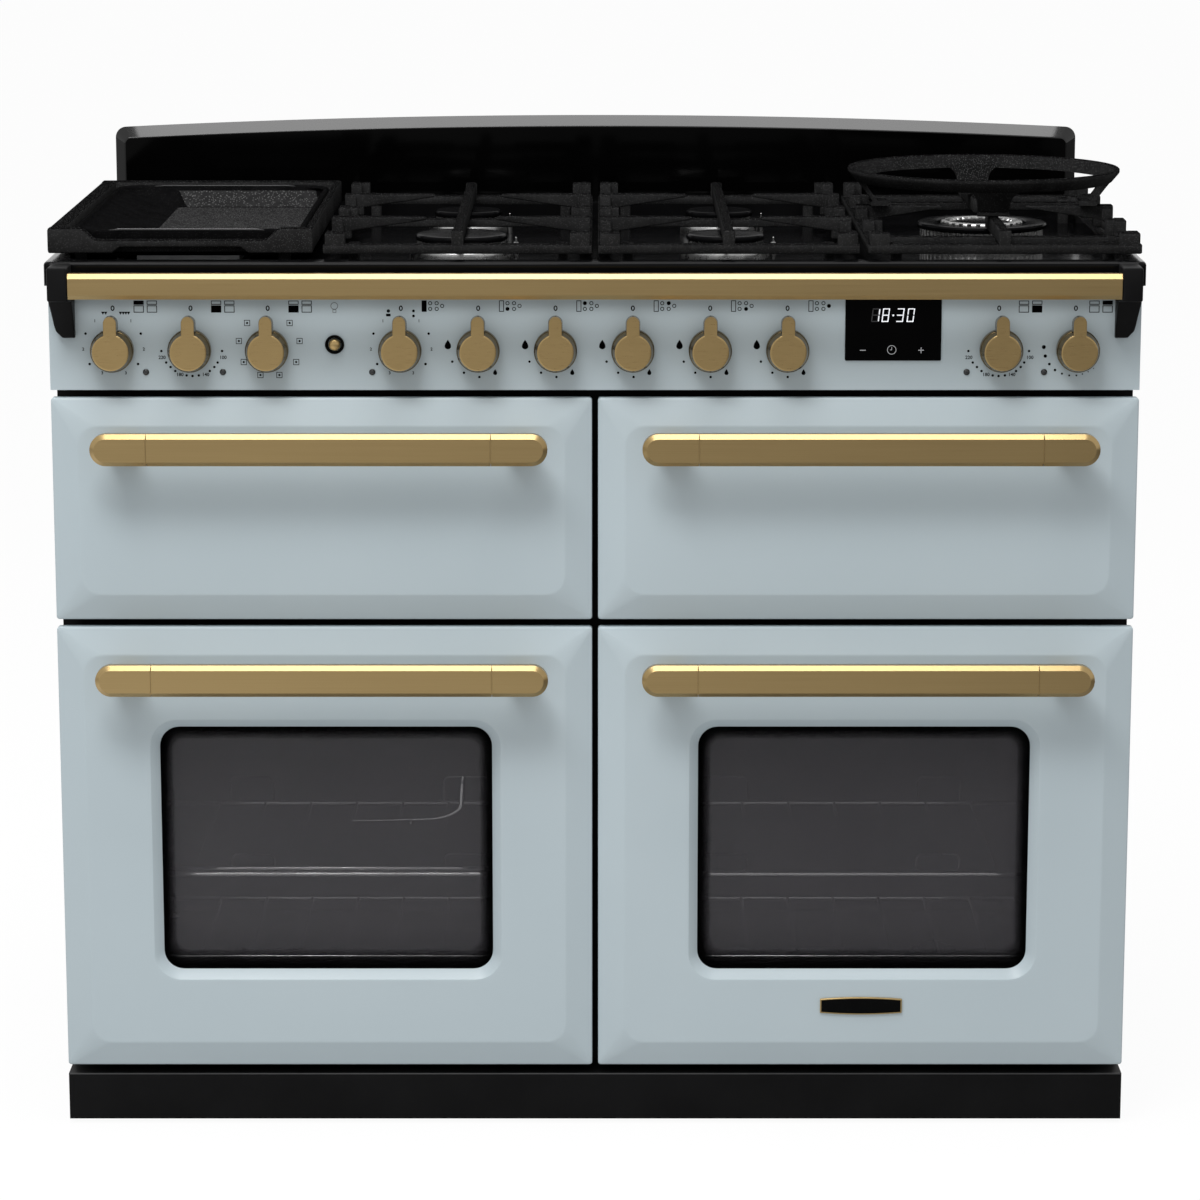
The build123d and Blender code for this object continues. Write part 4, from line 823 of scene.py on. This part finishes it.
# burners: alloy bodies whose crowns are notched by flame slots, dark caps and a spark plug each
# profiles of the four small burners are given from each burner's own radius
burnerPlaces = {"frontLeft": (-137.0, -127.5, 47.0), "rearLeft": (-137.0, 96.5, 36.0),
                "rearCentre": (133.5, 96.5, 36.0), "frontCentre": (133.5, -127.5, 40.0)}
burnerShape = {"body": [(6, 884), (6, 890), (5, 893), (1, 896.2), (-1, 897.4), (-1.6, 897.8), (-1.6, 898.2),
                        (-1.6, 902.2), (-2.6, 902.8), (-4, 903.0)],
               "cap": [(-2, 902.9), (-0.4, 903.2), (0, 904.2), (0, 906.4), (-0.7, 907.8), (-2.4, 908.8), (-5, 909.0)],
               "slotsPerRadius": 0.9, "slotDepth": 2.2, "slotBand": (898.0, 902.6), "plug": (9, -4), "plugFoot": 884}
wokShape = {"place": (406.0, -15.5), "plug": 36, "plugFoot": 889,
            "crowns": [([(72, 884), (72, 889), (70, 890), (64.4, 890.4), (64.4, 897.8), (64.4, 902.4), (63, 903.0),
                         (46.5, 903), (45.6, 902.6), (45.6, 891), (44, 890), (4, 890)], 60, 2.4, (893.0, 902.5)),
                       ([(24, 889.5), (24, 898), (24, 902.4), (22, 903)], 24, 2.0, (893.0, 902.5)),
                       ([(43, 890.5), (43, 897), (43, 908.6), (42, 909.8), (40, 910.4), (35, 910.4), (33.6, 909.6),
                         (33.2, 908), (33.2, 891)], 28, 2.2, (896.0, 908.8))],
            "ring": [(46, 903), (67.4, 903), (68, 904), (68, 906.6), (66.6, 908.4), (64, 909), (49, 909), (46.6, 908),
                     (46, 906.6)],
            "cap": [(28, 903), (30, 903.4), (30, 906.8), (28.6, 908.6), (26, 909), (4, 908.6)]}


def notchedCrown(centre, profile, slots, depth, band):
    # a turned profile whose radius drops by depth inside each flame slot, between the band's heights
    profile = np.asarray(profile, float)
    a = np.linspace(0, 2 * np.pi, slots * 8, endpoint=False)[None]
    inBand = ((profile[:, 1:] > band[0]) & (profile[:, 1:] < band[1])).astype(float)
    cut = np.clip((np.sin(a * slots) - 0.25) * 4, 0, 1)
    radius = profile[:, :1] - depth * cut * inBand
    rings = np.stack([radius * np.cos(a), radius * np.sin(a), profile[:, 1:] + 0 * a], -1)
    return skin(rings + np.array([*centre, 0.0]))


def sparkPlug(x, y, foot):
    # a turned post with a thin tip
    return lathe([(2.6, foot), (2.6, 900), (1.2, 900.6), (1.0, 905), (0.4, 905.6)], (x, y, 0), count=16)


b = burnerShape
bodies, caps, plugs = [], [], []
for x, y, radius in burnerPlaces.values():
    bodies.append(notchedCrown((x, y), [(radius + out, z) for out, z in b["body"]], int(radius * b["slotsPerRadius"]),
                               b["slotDepth"], b["slotBand"]))
    dome = [(radius * 0.6, 908.7), (4, 908.5)]
    caps.append(lathe([(radius + out, z) for out, z in b["cap"]] + dome, (x, y, 0)))
    plugs.append(sparkPlug(x + radius + b["plug"][0], y + b["plug"][1], b["plugFoot"]))
wokX, wokY = wokShape["place"]
bodies += [notchedCrown((wokX, wokY), *crown) for crown in wokShape["crowns"]]
caps += [hoop(wokShape["ring"], (wokX, wokY, 0)), lathe(wokShape["cap"], (wokX, wokY, 0))]
plugs.append(sparkPlug(wokX + wokShape["plug"], wokY, wokShape["plugFoot"]))
addPiece("burnerCrowns", merged(bodies), burnerAlloy, "cooker", ("burner_bodies",), smooth=30)
addPiece("burnerLids", merged(caps), capEnamel, "cooker", ("burner_caps",))
addPiece("sparkPlugs", merged(plugs), burnerAlloy, "cooker")
print("burners made")


# control panel: timer glass, button bezel, printed marks, clock figures and lamps
panelY = -265.0
buttonX, buttonZ = -259.5, 813.5
timerShape = {"x": (249.2, 345.0), "z": (797.2, 862.2), "corner": 1.2, "proud": 1.5, "edge": 0.4}
bezelProfile = [(6.6, 0.0), (9.3, 0.0), (9.5, 0.4), (9.5, 2.2), (8.6, 3.0), (7.2, 3.0), (6.6, 2.2)]
lampProfile = [(3.2, 0.5), (3.2, -0.5), (2.9, -1.0), (2.0, -1.5), (0.8, -1.75)]
domeProfile = [(5.9, 1.0), (5.9, -4.2), (5.7, -5.2), (4.9, -6.4), (3.5, -7.3), (1.6, -7.8), (0.5, -7.9)]
panelMap = {"x": 5.0, "column": 600.0, "across": 0.9971, "z": 850.0, "row": 308.0, "down": 1.006}
markY = (panelY - 0.12, panelY + 0.05)
keyY = (panelY - 1.62, panelY - 1.45)

timerPane = slab(roundedOutline(timerShape["x"], timerShape["z"], timerShape["corner"], 4),
                 (panelY - timerShape["proud"], panelY), timerShape["edge"])
ringPoints, ringFaces = hoop(bezelProfile, (0, 0, 0), 48)
ringPoints = np.stack([ringPoints[:, 0] + buttonX, panelY - ringPoints[:, 2], ringPoints[:, 1] + buttonZ], 1)
addPiece("timerAndBezel", merged([timerPane, (ringPoints, ringFaces)]), timerGlass, "cooker",
         ("fascia_trims",))


def px(x, y):
    # a column and row of the panel's drawing as x and z in millimetres: a scale and a shift for each
    m = panelMap
    return np.array([m["x"] + (x - m["column"]) * m["across"], m["z"] - m["down"] * (y - m["row"])])


def turnedOn(wall, profile, x, z, count):
    # a turned profile of (radius, distance from the wall), its axis square to the wall
    return lathe([(radius, wall + away) for radius, away in profile], (x, 0, z), "y", count)


def dotMark(x, y, radius):
    # a thin disc
    return slab(circle(*px(x, y), radius, 18), markY)


def barMark(x0, y0, x1, y1):
    # a thin block between two corners
    a, b = px(x0, y1), px(x1, y0)
    return slab(roundedOutline((a[0], b[0]), (a[1], b[1]), 0.1, 2), markY)


def frameMark(x0, y0, x1, y1, line=0.75):
    # four bars round a rectangle
    return [barMark(x0, y0, x1, y0 + line), barMark(x0, y1 - line, x1, y1),
            barMark(x0, y0 + line, x0 + line, y1 - line), barMark(x1 - line, y0 + line, x1, y1 - line)]


def ringMark(x, y, radius, line=0.75):
    # an open circle
    u, v = px(x, y)
    return washer(circle(u, v, radius, 24), circle(u, v, radius - line, 24), markY)


def ovalMark(x, y, wide, tall, line):
    # an open oval: the unit circle stretched by each half axis
    unit = circle(0, 0, 1, 24)
    return washer(*(px(x, y) + unit * np.array([wide - inset, tall - inset]) for inset in (0, line)), markY)


def flameMark(x, y, height):
    # a drop: the width follows the sine of the height's own arc, drawn to a point at the top
    u, v = px(x, y)
    t = np.linspace(0, 2 * np.pi, 25)[:-1]
    outline = np.stack([u + 0.46 * height * np.sin(t) * np.sin(t / 2) ** 1.3, v + 0.5 * height * np.cos(t)], 1)
    return slab(outline, markY)


def triangleMark(x, y, size):
    # a point below two level corners
    u, v = px(x, y)
    half, top = size * 0.55, v + size * 0.4
    return slab(np.array([[u, v - size * 0.6], [u + half, top], [u - half, top]]), markY)


def textMark(words, x, y, size):
    # the font's own outlines with a little depth, turned from the ground onto the panel
    curve = bpy.data.curves.new("figure", "FONT")
    curve.body, curve.size, curve.align_x, curve.align_y = words, size * 1.38, "CENTER", "CENTER"
    curve.resolution_u = 3
    curve.extrude = 0.06
    curve.offset = 0.09
    holder = bpy.data.objects.new("figure", curve)
    bpy.context.scene.collection.objects.link(holder)
    bpy.context.view_layer.update()
    mesh = bpy.data.meshes.new_from_object(holder.evaluated_get(bpy.context.evaluated_depsgraph_get()))
    points = np.empty(len(mesh.vertices) * 3)
    mesh.vertices.foreach_get("co", points)
    points = points.reshape(-1, 3)
    faces = [list(face.vertices) for face in mesh.polygons]
    bpy.data.objects.remove(holder)
    bpy.data.curves.remove(curve)
    bpy.data.meshes.remove(mesh)
    u, v = px(x, y)
    return np.stack([points[:, 0] + u, panelY - 0.06 - points[:, 2], points[:, 1] + v], 1), faces


# places in columns and rows of the panel's drawing; an oven's dots and figures are counted from its knob's column,
# and cells from their own picture's left
knobColumns = {"grill": 113.5, "left_oven": 191.3, "left_function": 268.3, "griddle": 401.2, "front_left": 478.4,
               "rear_left": 555.6, "rear_centre": 632.8, "front_centre": 710.0, "wok": 787.2, "right_oven": 998.4,
               "slow_oven": 1075.0}
ovenDots = [(-30.0, 351), (-25.4, 362.5), (-21.1, 367), (-16.5, 371), (-5.2, 375.4), (0.7, 376), (7.0, 375.4),
            (18.1, 371), (22.7, 367), (26.1, 362.5), (30.7, 351)]
ovenFigures = [(-29.4, 357.5, "220"), (-11.9, 374.6, "180"), (13.9, 374.6, "140"), (31.6, 357.5, "100")]
functionPlaces = [(290, 323), (299.7, 341), (296, 362), (279, 375), (260, 375), (243.5, 362), (239, 341), (247.5, 323)]
slowDots = [(1043.8, 347, 2), (1045.5, 356, 1.7), (1049.7, 364, 1.4), (1055.5, 370, 1.3), (1062.5, 373.6, 1.1),
            (1069.8, 375.4, 1), (1077, 375.4, 0.9), (1083, 374, 0.7), (1088.7, 371.7, 0.6), (1094, 368.4, 0.5)]
cavityPictures = [(134.5, 0), (211.8, 1), (289.0, 1), (1018.0, 3), (1088.3, 2)]
cavityCells = [(0, 300.7, 10.2, 304.8), (0, 305.5, 10.2, 312.6), (13.2, 300.7, 23.4, 304.8), (13.2, 305.5, 23.4, 312.6)]
hobCircles = [(430.5, 303.3), (430.5, 309), (437, 303.3), (437, 309), (442.5, 306)]
hobPitch = 77.2

marks = [ovalMark(x, 308.3, 2.0, 2.75, 1.15) for x in knobColumns.values()]
for name in ("grill", "griddle"):
    for side in (-1, 1):
        at = lambda dx: knobColumns[name] + side * dx
        marks += [textMark("1", at(18.0), 321, 3.1), dotMark(at(27.6), 333.6, 1.3), textMark("2", at(30.3), 349.2, 3.1),
                  dotMark(at(24.2), 364, 1.3), textMark("3", at(11.8), 373, 3.1)]
marks += [triangleMark(x, 313, 3.1) for x in (103.7, 106.5, 121.3, 124.1, 126.7, 129.4)]
marks += [dotMark(388.7, 311, 1.7), barMark(386.4, 313.8, 391.0, 316.4), dotMark(413.8, 311, 1.4),
          dotMark(413.8, 316, 1.4)]
for name in ("left_oven", "right_oven"):
    x = knobColumns[name]
    marks += [dotMark(x + dx, y, 1.25) for dx, y in ovenDots]
    marks += [textMark(words, x + dx, y, 3.5) for dx, y, words in ovenFigures]
for x, y in functionPlaces:
    marks += frameMark(x - 3, y - 3, x + 3, y + 3, 0.6) + [dotMark(x, y, 1.1)]
for name in ("front_left", "rear_left", "rear_centre", "front_centre", "wok"):
    x = knobColumns[name]
    marks.append(flameMark(x - 30.5, 344.4, 9.6))
    marks += [dotMark(x + dx, y, 1.25) for dx, y in ((-26.2, 361.6), (-14.6, 372.7), (0.8, 377))]
    marks.append(flameMark(x + 16.6, 372, 6.0))
marks += [dotMark(*dot) for dot in slowDots]
for x, filled in cavityPictures:
    for index, (x0, y0, x1, y1) in enumerate(cavityCells):
        cell = (x + x0, y0, x + x1, y1)
        marks += [barMark(*cell)] if index == filled else frameMark(*cell)
for count, filled in enumerate((None, 1, 0, 2, 3, 4)):
    shift = count * hobPitch
    plate = (422 + shift, 300.5, 427 + shift, 311.8)
    marks += [barMark(*plate)] if filled is None else frameMark(*plate)
    marks += [(dotMark if index == filled else ringMark)(x + shift, y, 2.0) for index, (x, y) in enumerate(hobCircles)]
bulb = [ringMark(334.8, 306.0, 3.8, 0.8)] + frameMark(333.0, 309.4, 336.8, 313.0, 0.7)
addPiece("bulbMark", merged(bulb), paleInk, "cooker", smooth=30)
addPiece("panelMarks", merged(marks), panelInk, "cooker", smooth=30)

lamps = [turnedOn(panelY, lampProfile, *px(x, 372), 24) for x in (145.5, 222.5, 372.0, 967.0, 1044.5)]
addPiece("neonLamps", merged(lamps), lampLens, "cooker", smooth=50)
addPiece("buttonDome", turnedOn(panelY, domeProfile, buttonX, buttonZ, 40), turnedBrass, "light_button",
         ("light_button",), smooth=60)

segmentPlan = {"1": "bc", "8": "abcdefg", "3": "abgcd", "0": "abcdef"}
segmentShape = {"row": 315.0, "half": 6.9 / 2, "tall": 13.6 / 2, "thick": 1.05, "gap": 0.5, "tip": 0.6, "round": 0.35,
                "lean": 0.12}
keyShape = {"row": 350, "half": 2.9, "line": 0.36, "hand": 0.28, "round": 0.2}


def segmentFigure(figure, x):
    # seven slim bars, sheared to the right as they rise
    s = segmentShape
    w, h, t, gap, tip = s["half"], s["tall"], s["thick"], s["gap"], s["tip"]
    bars = {"a": (-w, w, h - t, h), "g": (-w, w, -t / 2, t / 2), "d": (-w, w, -h, -h + t),
            "f": (-w, -w + t, gap, h - tip), "b": (w - t, w, gap, h - tip), "e": (-w, -w + t, -h + tip, -gap),
            "c": (w - t, w, -h + tip, -gap)}
    shells = []
    for label in segmentPlan[figure]:
        x0, x1, z0, z1 = bars[label]
        outline = roundedOutline((x0, x1), (z0, z1), s["round"], 3)
        outline[:, 0] += s["lean"] * outline[:, 1]
        shells.append(slab(outline + px(x, s["row"]), keyY))
    return shells


def keyBar(u, v):
    # a slim bar on the glass
    return slab(roundedOutline(u, v, keyShape["round"], 3), keyY)


half, line, hand = keyShape["half"], keyShape["line"], keyShape["hand"]
lit = sum((segmentFigure(figure, x) for figure, x in (("1", 875.6), ("8", 885.2), ("3", 899.8), ("0", 910.2))), [])
lit.append(slab(circle(*px(892.7, 315.2), 0.95, 16), keyY))
faint = [(points + np.array([0.0, 0.06, 0.0]), faces) for points, faces in segmentFigure("8", 874.8)]
minus, plus, (u, v) = px(862.7, keyShape["row"]), px(921.0, keyShape["row"]), px(891.6, 349.6)
keys = [keyBar(span(key[0], half), span(key[1], line)) for key in (minus, plus)]
keys.append(keyBar(span(plus[0], line), span(plus[1], half)))
keys.append(washer(circle(u, v, 4.6, 32), circle(u, v, 4.05, 32), keyY))
keys += [keyBar(span(u, hand), (v - 0.3, v + half)), keyBar((u - 1.6, u + 0.3), span(v, hand))]
addPiece("clockFigures", merged(lit), litDigit, "cooker")
addPiece("clockKeys", merged(keys), keyDigit, "cooker")
addPiece("clockGhosts", merged(faint), faintDigit, "cooker")
print("panel marks made")


# windows: a black printed band that fades inwards, just in front of each pane, and a bright strip behind it
windowX, windowZ = 273.5, 294.5
borderShape = {"y": (-265.35, -265.15), "outside": 3, "inside": 13, "foot": 21, "corners": (22, 20, 12)}
stripShape = {"half": 171, "y": -257.5, "z": (176.4, 178.8), "thick": 1.2, "round": 0.8}


def windowBorder(centreX, centreZ):
    # a flat ring from outside the window's edge to its clear middle; its own coordinate goes from 0 to 1 inwards
    b = borderShape
    x, z = span(centreX, doorShape["windowWidth"] / 2), span(centreZ, doorShape["windowHeight"] / 2)
    sides = [(grown(x, b["outside"]), grown(z, b["outside"])), (x, z),
             (grown(x, -b["inside"]), (z[0] + b["foot"], z[1] - b["inside"]))]
    outlines = [roundedOutline(u, v, corner) for (u, v), corner in zip(sides, b["corners"])]
    rings = [onFront(outline, b["y"][0]) for outline in outlines]
    rings += [onFront(outline, b["y"][1]) for outline in outlines[::-1]]
    return skin(rings, around=True), np.repeat([0.0, 0.0, 1.0, 1.0, 0.0, 0.0], len(outlines[0]))


s = stripShape
for side, body in ((-1, "left_oven_door"), (1, "right_oven_door")):
    band, along = windowBorder(side * windowX, windowZ)
    addPiece(body + "Border", band, glassBorder, body, along=along)
    strip = evenBar("x", span(side * windowX, s["half"]), s["y"], s["thick"], s["z"], s["round"])
    addPiece(body + "Strip", strip, chromeWire, body, smooth=50)


# oven interiors: slotted guards over the fans, wire loops, raised bars on the shelves and a hook on the left door
guardShape = {"x": 265.5, "z": 294.5, "reach": 52, "radius": 57.0, "slats": 14, "half": 2.1, "y": (172.6, 174.6)}
loopShape = {"x": ((118, 172), (362, 412)), "z": ((228, 262), (150, 172)), "y": (169.7, 171.5), "wire": 1.8,
             "corner": 8}
shelfShape = {"x": (-481.5, -49.5), "y": -183.0, "z": (248.8, 253.2), "half": 2.2, "round": 2.0,
              "postX": (-465.5, -65.5), "posts": 9, "post": [(1.2, 244.0), (1.2, 250.5)]}
hookShape = {"y": -211.0, "bend": (-178.0, 328.0), "bendSize": (40.0, 17.0), "steps": 13,
             "start": [(-250.0, 309.6), (-215.0, 310.0)], "end": [(-137.4, 340.0), (-136.0, 357.0)],
             "startWide": [0.3, 0.5], "bendWide": (0.7, 2.6), "endWide": [2.6, 2.2],
             "pins": [(-136.4, 352.0), (-190.0, 311.0)], "pinY": (-228.0, -210.0), "pin": 1.0, "pinRound": 0.8}


def fanGuard(centreX):
    # upright slats whose half length follows the eye's circle
    g = guardShape
    places = np.linspace(-g["reach"], g["reach"], g["slats"])
    tall = np.sqrt(g["radius"] ** 2 - places ** 2)
    return merged([slab(roundedOutline(span(centreX + place, g["half"]), span(g["z"], high), 1.0, 3), g["y"])
                   for place, high in zip(places, tall)])


def wireLoop(x, z):
    # a rounded rectangle with the same one drawn in by the wire
    wide, corner = loopShape["wire"], loopShape["corner"]
    return washer(roundedOutline(x, z, corner, 6), roundedOutline(grown(x, -wide), grown(z, -wide), corner - wide, 6),
                  loopShape["y"])


def wirePath(points, radius, count=10):
    # circles set square to the path; each frame comes from the path's own direction and the front axis
    points, radius = np.asarray(points, float), np.asarray(radius)[:, None, None]
    ahead = np.gradient(points, axis=0)
    ahead /= np.linalg.norm(ahead, axis=1, keepdims=True)
    side = np.cross(ahead, (0.0, 1.0, 0.0))
    side /= np.linalg.norm(side, axis=1, keepdims=True)
    up = np.cross(side, ahead)
    a = np.linspace(0, 2 * np.pi, count, endpoint=False)[None, :, None]
    return skin(points[:, None] + radius * (np.cos(a) * side[:, None] + np.sin(a) * up[:, None]))


def doorHook():
    # a tapered wire: a level run, a quarter of an ellipse and an upright end, on two pins
    h = hookShape
    bend = np.array(h["bend"]) + np.array(h["bendSize"]) * arcPoints(0, 0, 1, -90, 0, h["steps"])
    line = onFront(np.concatenate([h["start"], bend, h["end"]]), h["y"])
    wide = np.concatenate([h["startWide"], np.linspace(*h["bendWide"], h["steps"]), h["endWide"]])
    return merged([wirePath(line, wide)] + [evenBar("y", h["pinY"], x, h["pin"], span(z, h["pin"]), h["pinRound"])
                                            for x, z in h["pins"]])


addPiece("fanGuards", merged([fanGuard(-guardShape["x"]), fanGuard(guardShape["x"])]), ovenEnamel, "cooker")
loops = [wireLoop(sorted((side * a, side * b)), z)
         for side in (-1, 1) for a, b in loopShape["x"] for z in loopShape["z"]]
addPiece("wireLoops", merged(loops), chromeWire, "cooker")
s = shelfShape
shelfParts = [evenBar("x", s["x"], s["y"], s["half"], s["z"], s["round"])]
shelfParts += [lathe(s["post"], (x, s["y"], 0), count=10) for x in np.linspace(*s["postX"], s["posts"])]
addPiece("shelfGuard", merged(shelfParts), chromeWire, "cooker", smooth=50)
addPiece("doorHook", doorHook(), chromeWire, "left_oven_door", smooth=60)
print("oven interiors made")


# back and sides: pressed vents, a cover plate over the terminals, screws
backY, sideX = 320.0, 544.0
ventShape = {"half": 52.0, "tall": 4.0, "proud": 3.2, "sunk": 0.4}
glandProfile = [(11, -0.4), (11, 3.8), (9.6, 3.95), (7, 3.95), (6, 1.0), (1, 0.8)]
backProfile = [(4.0, -0.5), (4.0, 0.8), (3.2, 1.7), (1.6, 2.1), (0.7, 1.5)]
sideProfile = [(4.0, 0.0), (4.0, 0.8), (3.2, 1.5), (1.6, 1.8), (0.7, 1.3)]
ventGrids = [((-330, -205, 120, 245), range(640, 740, 16)), ((-265, 265), range(110, 190, 16))]
screwGrids = [((-525, -262, 0, 262, 525), (45, 870)), ((-525, 525), (250, 460, 670)), ((-478, -342), (480, 550))]


def ventSlat(x, z):
    # a long half-round ridge that stands out from the back sheet and closes on it at both ends
    s = ventShape
    u = np.linspace(-1, 1, 21)[:, None]
    a = np.radians(np.linspace(0, 180, 9))
    out = backY - s["sunk"] + s["proud"] * (1 - u ** 6) * np.sin(a)
    return skin(np.stack([x + s["half"] * u + 0 * a, out, z + s["tall"] * np.cos(a) * (1 - 0.4 * u ** 8)], -1))


def sideScrew(side, y, z):
    # a turned profile whose axis lies along x
    points, faces = lathe(sideProfile, (0, 0, 0), "z", 20)
    return np.stack([side * (sideX + points[:, 2] - 0.3), y + points[:, 0], z + points[:, 1]], 1), faces


vents = [ventSlat(x, z) for columns, rows in ventGrids for x in columns for z in rows]
vents.append(slab(roundedOutline((-470.0, -350.0), (470.0, 560.0), 8, 6), (backY + 3.6, backY - 0.5)))
vents.append(turnedOn(backY, glandProfile, -380, 447, 32))
addPiece("backVents", merged(vents), blackCoat, "cooker", smooth=40)
screws = [turnedOn(backY, backProfile, x, z, 20) for columns, rows in screwGrids for x in columns for z in rows]
screws += [sideScrew(side, y, z) for side in (-1, 1) for y in (-190, 295) for z in (60, 460, 850)]
addPiece("sheetScrews", merged(screws), zincSteel, "cooker", smooth=45)
# a lighter strip along the plinth's top front edge: a painted highlight
paintedHighlightStrip = evenBar("x", (-543.6, 543.6), -264.3, 0.9, (52.5, 54.1), 0.7)
addPiece("plinthPaintedHighlight", paintedHighlightStrip, wheelPlasticAndPlinthHighlight, "cooker", smooth=50)
print("back and sides made")


# plain badge plate on the right oven door
badgeShape = {"x": 273.0, "z": 130.0, "half": 42.0, "tall": 7.4, "bow": 1.8, "rim": 1.3, "faceY": (-277.2, -276.6),
              "steps": [(0, -274.8), (0, -276.6), (0.5, -277.0)]}


def badgeOutline(inset):
    # upright ends; the long edges bow outwards by a parabola
    b = badgeShape
    u = np.linspace(-1, 1, 21)
    half, tall = b["half"] - inset, b["tall"] - inset
    top = np.stack([b["x"] + half * u[::-1], b["z"] + tall + b["bow"] * (1 - u ** 2)], 1)
    return np.concatenate([top, np.stack([b["x"] + half * u, b["z"] - tall - b["bow"] * (1 - u ** 2)], 1)])


addPiece("badgePlate", skin([onFront(badgeOutline(inset), y) for inset, y in badgeShape["steps"]]), brushedBrass,
         "right_oven_door")
addPiece("badgeFace", slab(badgeOutline(badgeShape["rim"]), badgeShape["faceY"]), timerGlass, "right_oven_door")
print("badge made")


# floor, light and camera
studio = {"worldFill": 0.5, "topPower": 46.0, "topSize": (1.8, 1.35), "topPlace": (0.0, -0.45, 3.1),
          "topAim": (0, -0.45, 0.9), "keyPower": 68.0, "keySize": (1.8, 0.9), "keyPlace": (-0.9, -2.05, 3.45),
          "keyAim": (0, -0.27, 0.6), "floorBounce": 0.56, "floorGlow": 0.95, "floorShine": (1.0, 0.34),
          "floorReach": 30, "shineReach": 1.2, "lens": 124.0, "sensor": 36.0,
          "cameraPlace": (0.005, -4.353, 1.3895), "cameraTilt": 90.0 - 11.56}
reach = studio["floorReach"]
floorMesh = bpy.data.meshes.new("studioFloor")
floorMesh.from_pydata([(-reach, -reach, 0), (reach, -reach, 0), (reach, reach, 0), (-reach, reach, 0)], [],
                      [(0, 1, 2, 3)])
studioFloor = bpy.data.objects.new("studioFloor", floorMesh)
bpy.context.scene.collection.objects.link(studioFloor)
floorFinish = bpy.data.materials.new("floorWhite")
floorFinish.use_nodes = True
tree = floorFinish.node_tree
surface = tree.nodes["Principled BSDF"]
surface.inputs["Roughness"].default_value = 0.9
surface.inputs["Specular IOR Level"].default_value = 0.0
# in reflections the floor's colour is painted darker from left to right, a painted falloff of light; the eye sees it
# plain white
slope = addNode(tree, "MapRange", {"From Min": -studio["shineReach"], "From Max": studio["shineReach"],
                                   "To Min": studio["floorShine"][0], "To Max": studio["floorShine"][1]})
spot = addNode(tree, "SeparateXYZ")
shiny = addNode(tree, "Mix", {"A": studio["floorBounce"]})
shade = addNode(tree, "Mix", {"B": 1.0})
glow = addNode(tree, "Emission")
path = addNode(tree, "LightPath").outputs
seen = addNode(tree, "Math", {1: studio["floorGlow"]}, "MULTIPLY")
blend = addNode(tree, "MixShader")
wire(tree, (addNode(tree, "TexCoord").outputs["Object"], spot.inputs[0]), (spot.outputs["X"], slope.inputs["Value"]),
     (slope.outputs["Result"], shiny.inputs["B"]), (path["Is Glossy Ray"], shiny.inputs["Factor"]),
     (shiny.outputs["Result"], shade.inputs["A"]), (path["Is Camera Ray"], shade.inputs["Factor"]),
     (shade.outputs["Result"], surface.inputs["Base Color"]), (path["Is Camera Ray"], seen.inputs[0]),
     (seen.outputs["Value"], blend.inputs["Fac"]), (surface.outputs["BSDF"], blend.inputs[1]),
     (glow.outputs["Emission"], blend.inputs[2]),
     (blend.outputs["Shader"], tree.nodes["Material Output"].inputs["Surface"]))
floorMesh.materials.append(floorFinish)

world = bpy.context.scene.world or bpy.data.worlds.new("studio")
bpy.context.scene.world = world
world.use_nodes = True
tree = world.node_tree
backdrop = tree.nodes["Background"]
backdrop.inputs["Color"].default_value = (1, 1, 1, 1)
# full strength where it is seen directly, mirrored or through glass, and the fill strength elsewhere
path = addNode(tree, "LightPath").outputs
either = addNode(tree, "Math", operation="MAXIMUM")
anySeen = addNode(tree, "Math", operation="MAXIMUM")
level = addNode(tree, "MapRange", {"To Min": studio["worldFill"], "To Max": 1.0})
wire(tree, (path["Is Camera Ray"], either.inputs[0]), (path["Is Glossy Ray"], either.inputs[1]),
     (either.outputs["Value"], anySeen.inputs[0]), (path["Is Transmission Ray"], anySeen.inputs[1]),
     (anySeen.outputs["Value"], level.inputs["Value"]), (level.outputs["Result"], backdrop.inputs["Strength"]))


def areaLamp(name, power, size, place, aim):
    # a rectangle of light whose face is turned from its place towards its aim
    lamp = bpy.data.lights.new(name, "AREA")
    lamp.energy, lamp.shape, lamp.size, lamp.size_y = power, "RECTANGLE", size[0], size[1]
    holder = bpy.data.objects.new(name, lamp)
    bpy.context.scene.collection.objects.link(holder)
    holder.location = place
    away = np.array(place, float) - np.array(aim, float)
    holder.rotation_euler = (math.atan2(math.hypot(away[0], away[1]), away[2]), 0, math.atan2(away[0], -away[1]))


areaLamp("topSoftbox", studio["topPower"], studio["topSize"], studio["topPlace"], studio["topAim"])
areaLamp("frontSoftbox", studio["keyPower"], studio["keySize"], studio["keyPlace"], studio["keyAim"])

lens = bpy.data.cameras.new("studioCamera")
lens.lens, lens.sensor_width = studio["lens"], studio["sensor"]
camera = bpy.data.objects.new("studioCamera", lens)
bpy.context.scene.collection.objects.link(camera)
camera.location = studio["cameraPlace"]
camera.rotation_euler = (math.radians(studio["cameraTilt"]), 0, 0)
bpy.context.scene.camera = camera
bpy.context.scene.view_settings.view_transform = "Standard"

print("scene done")
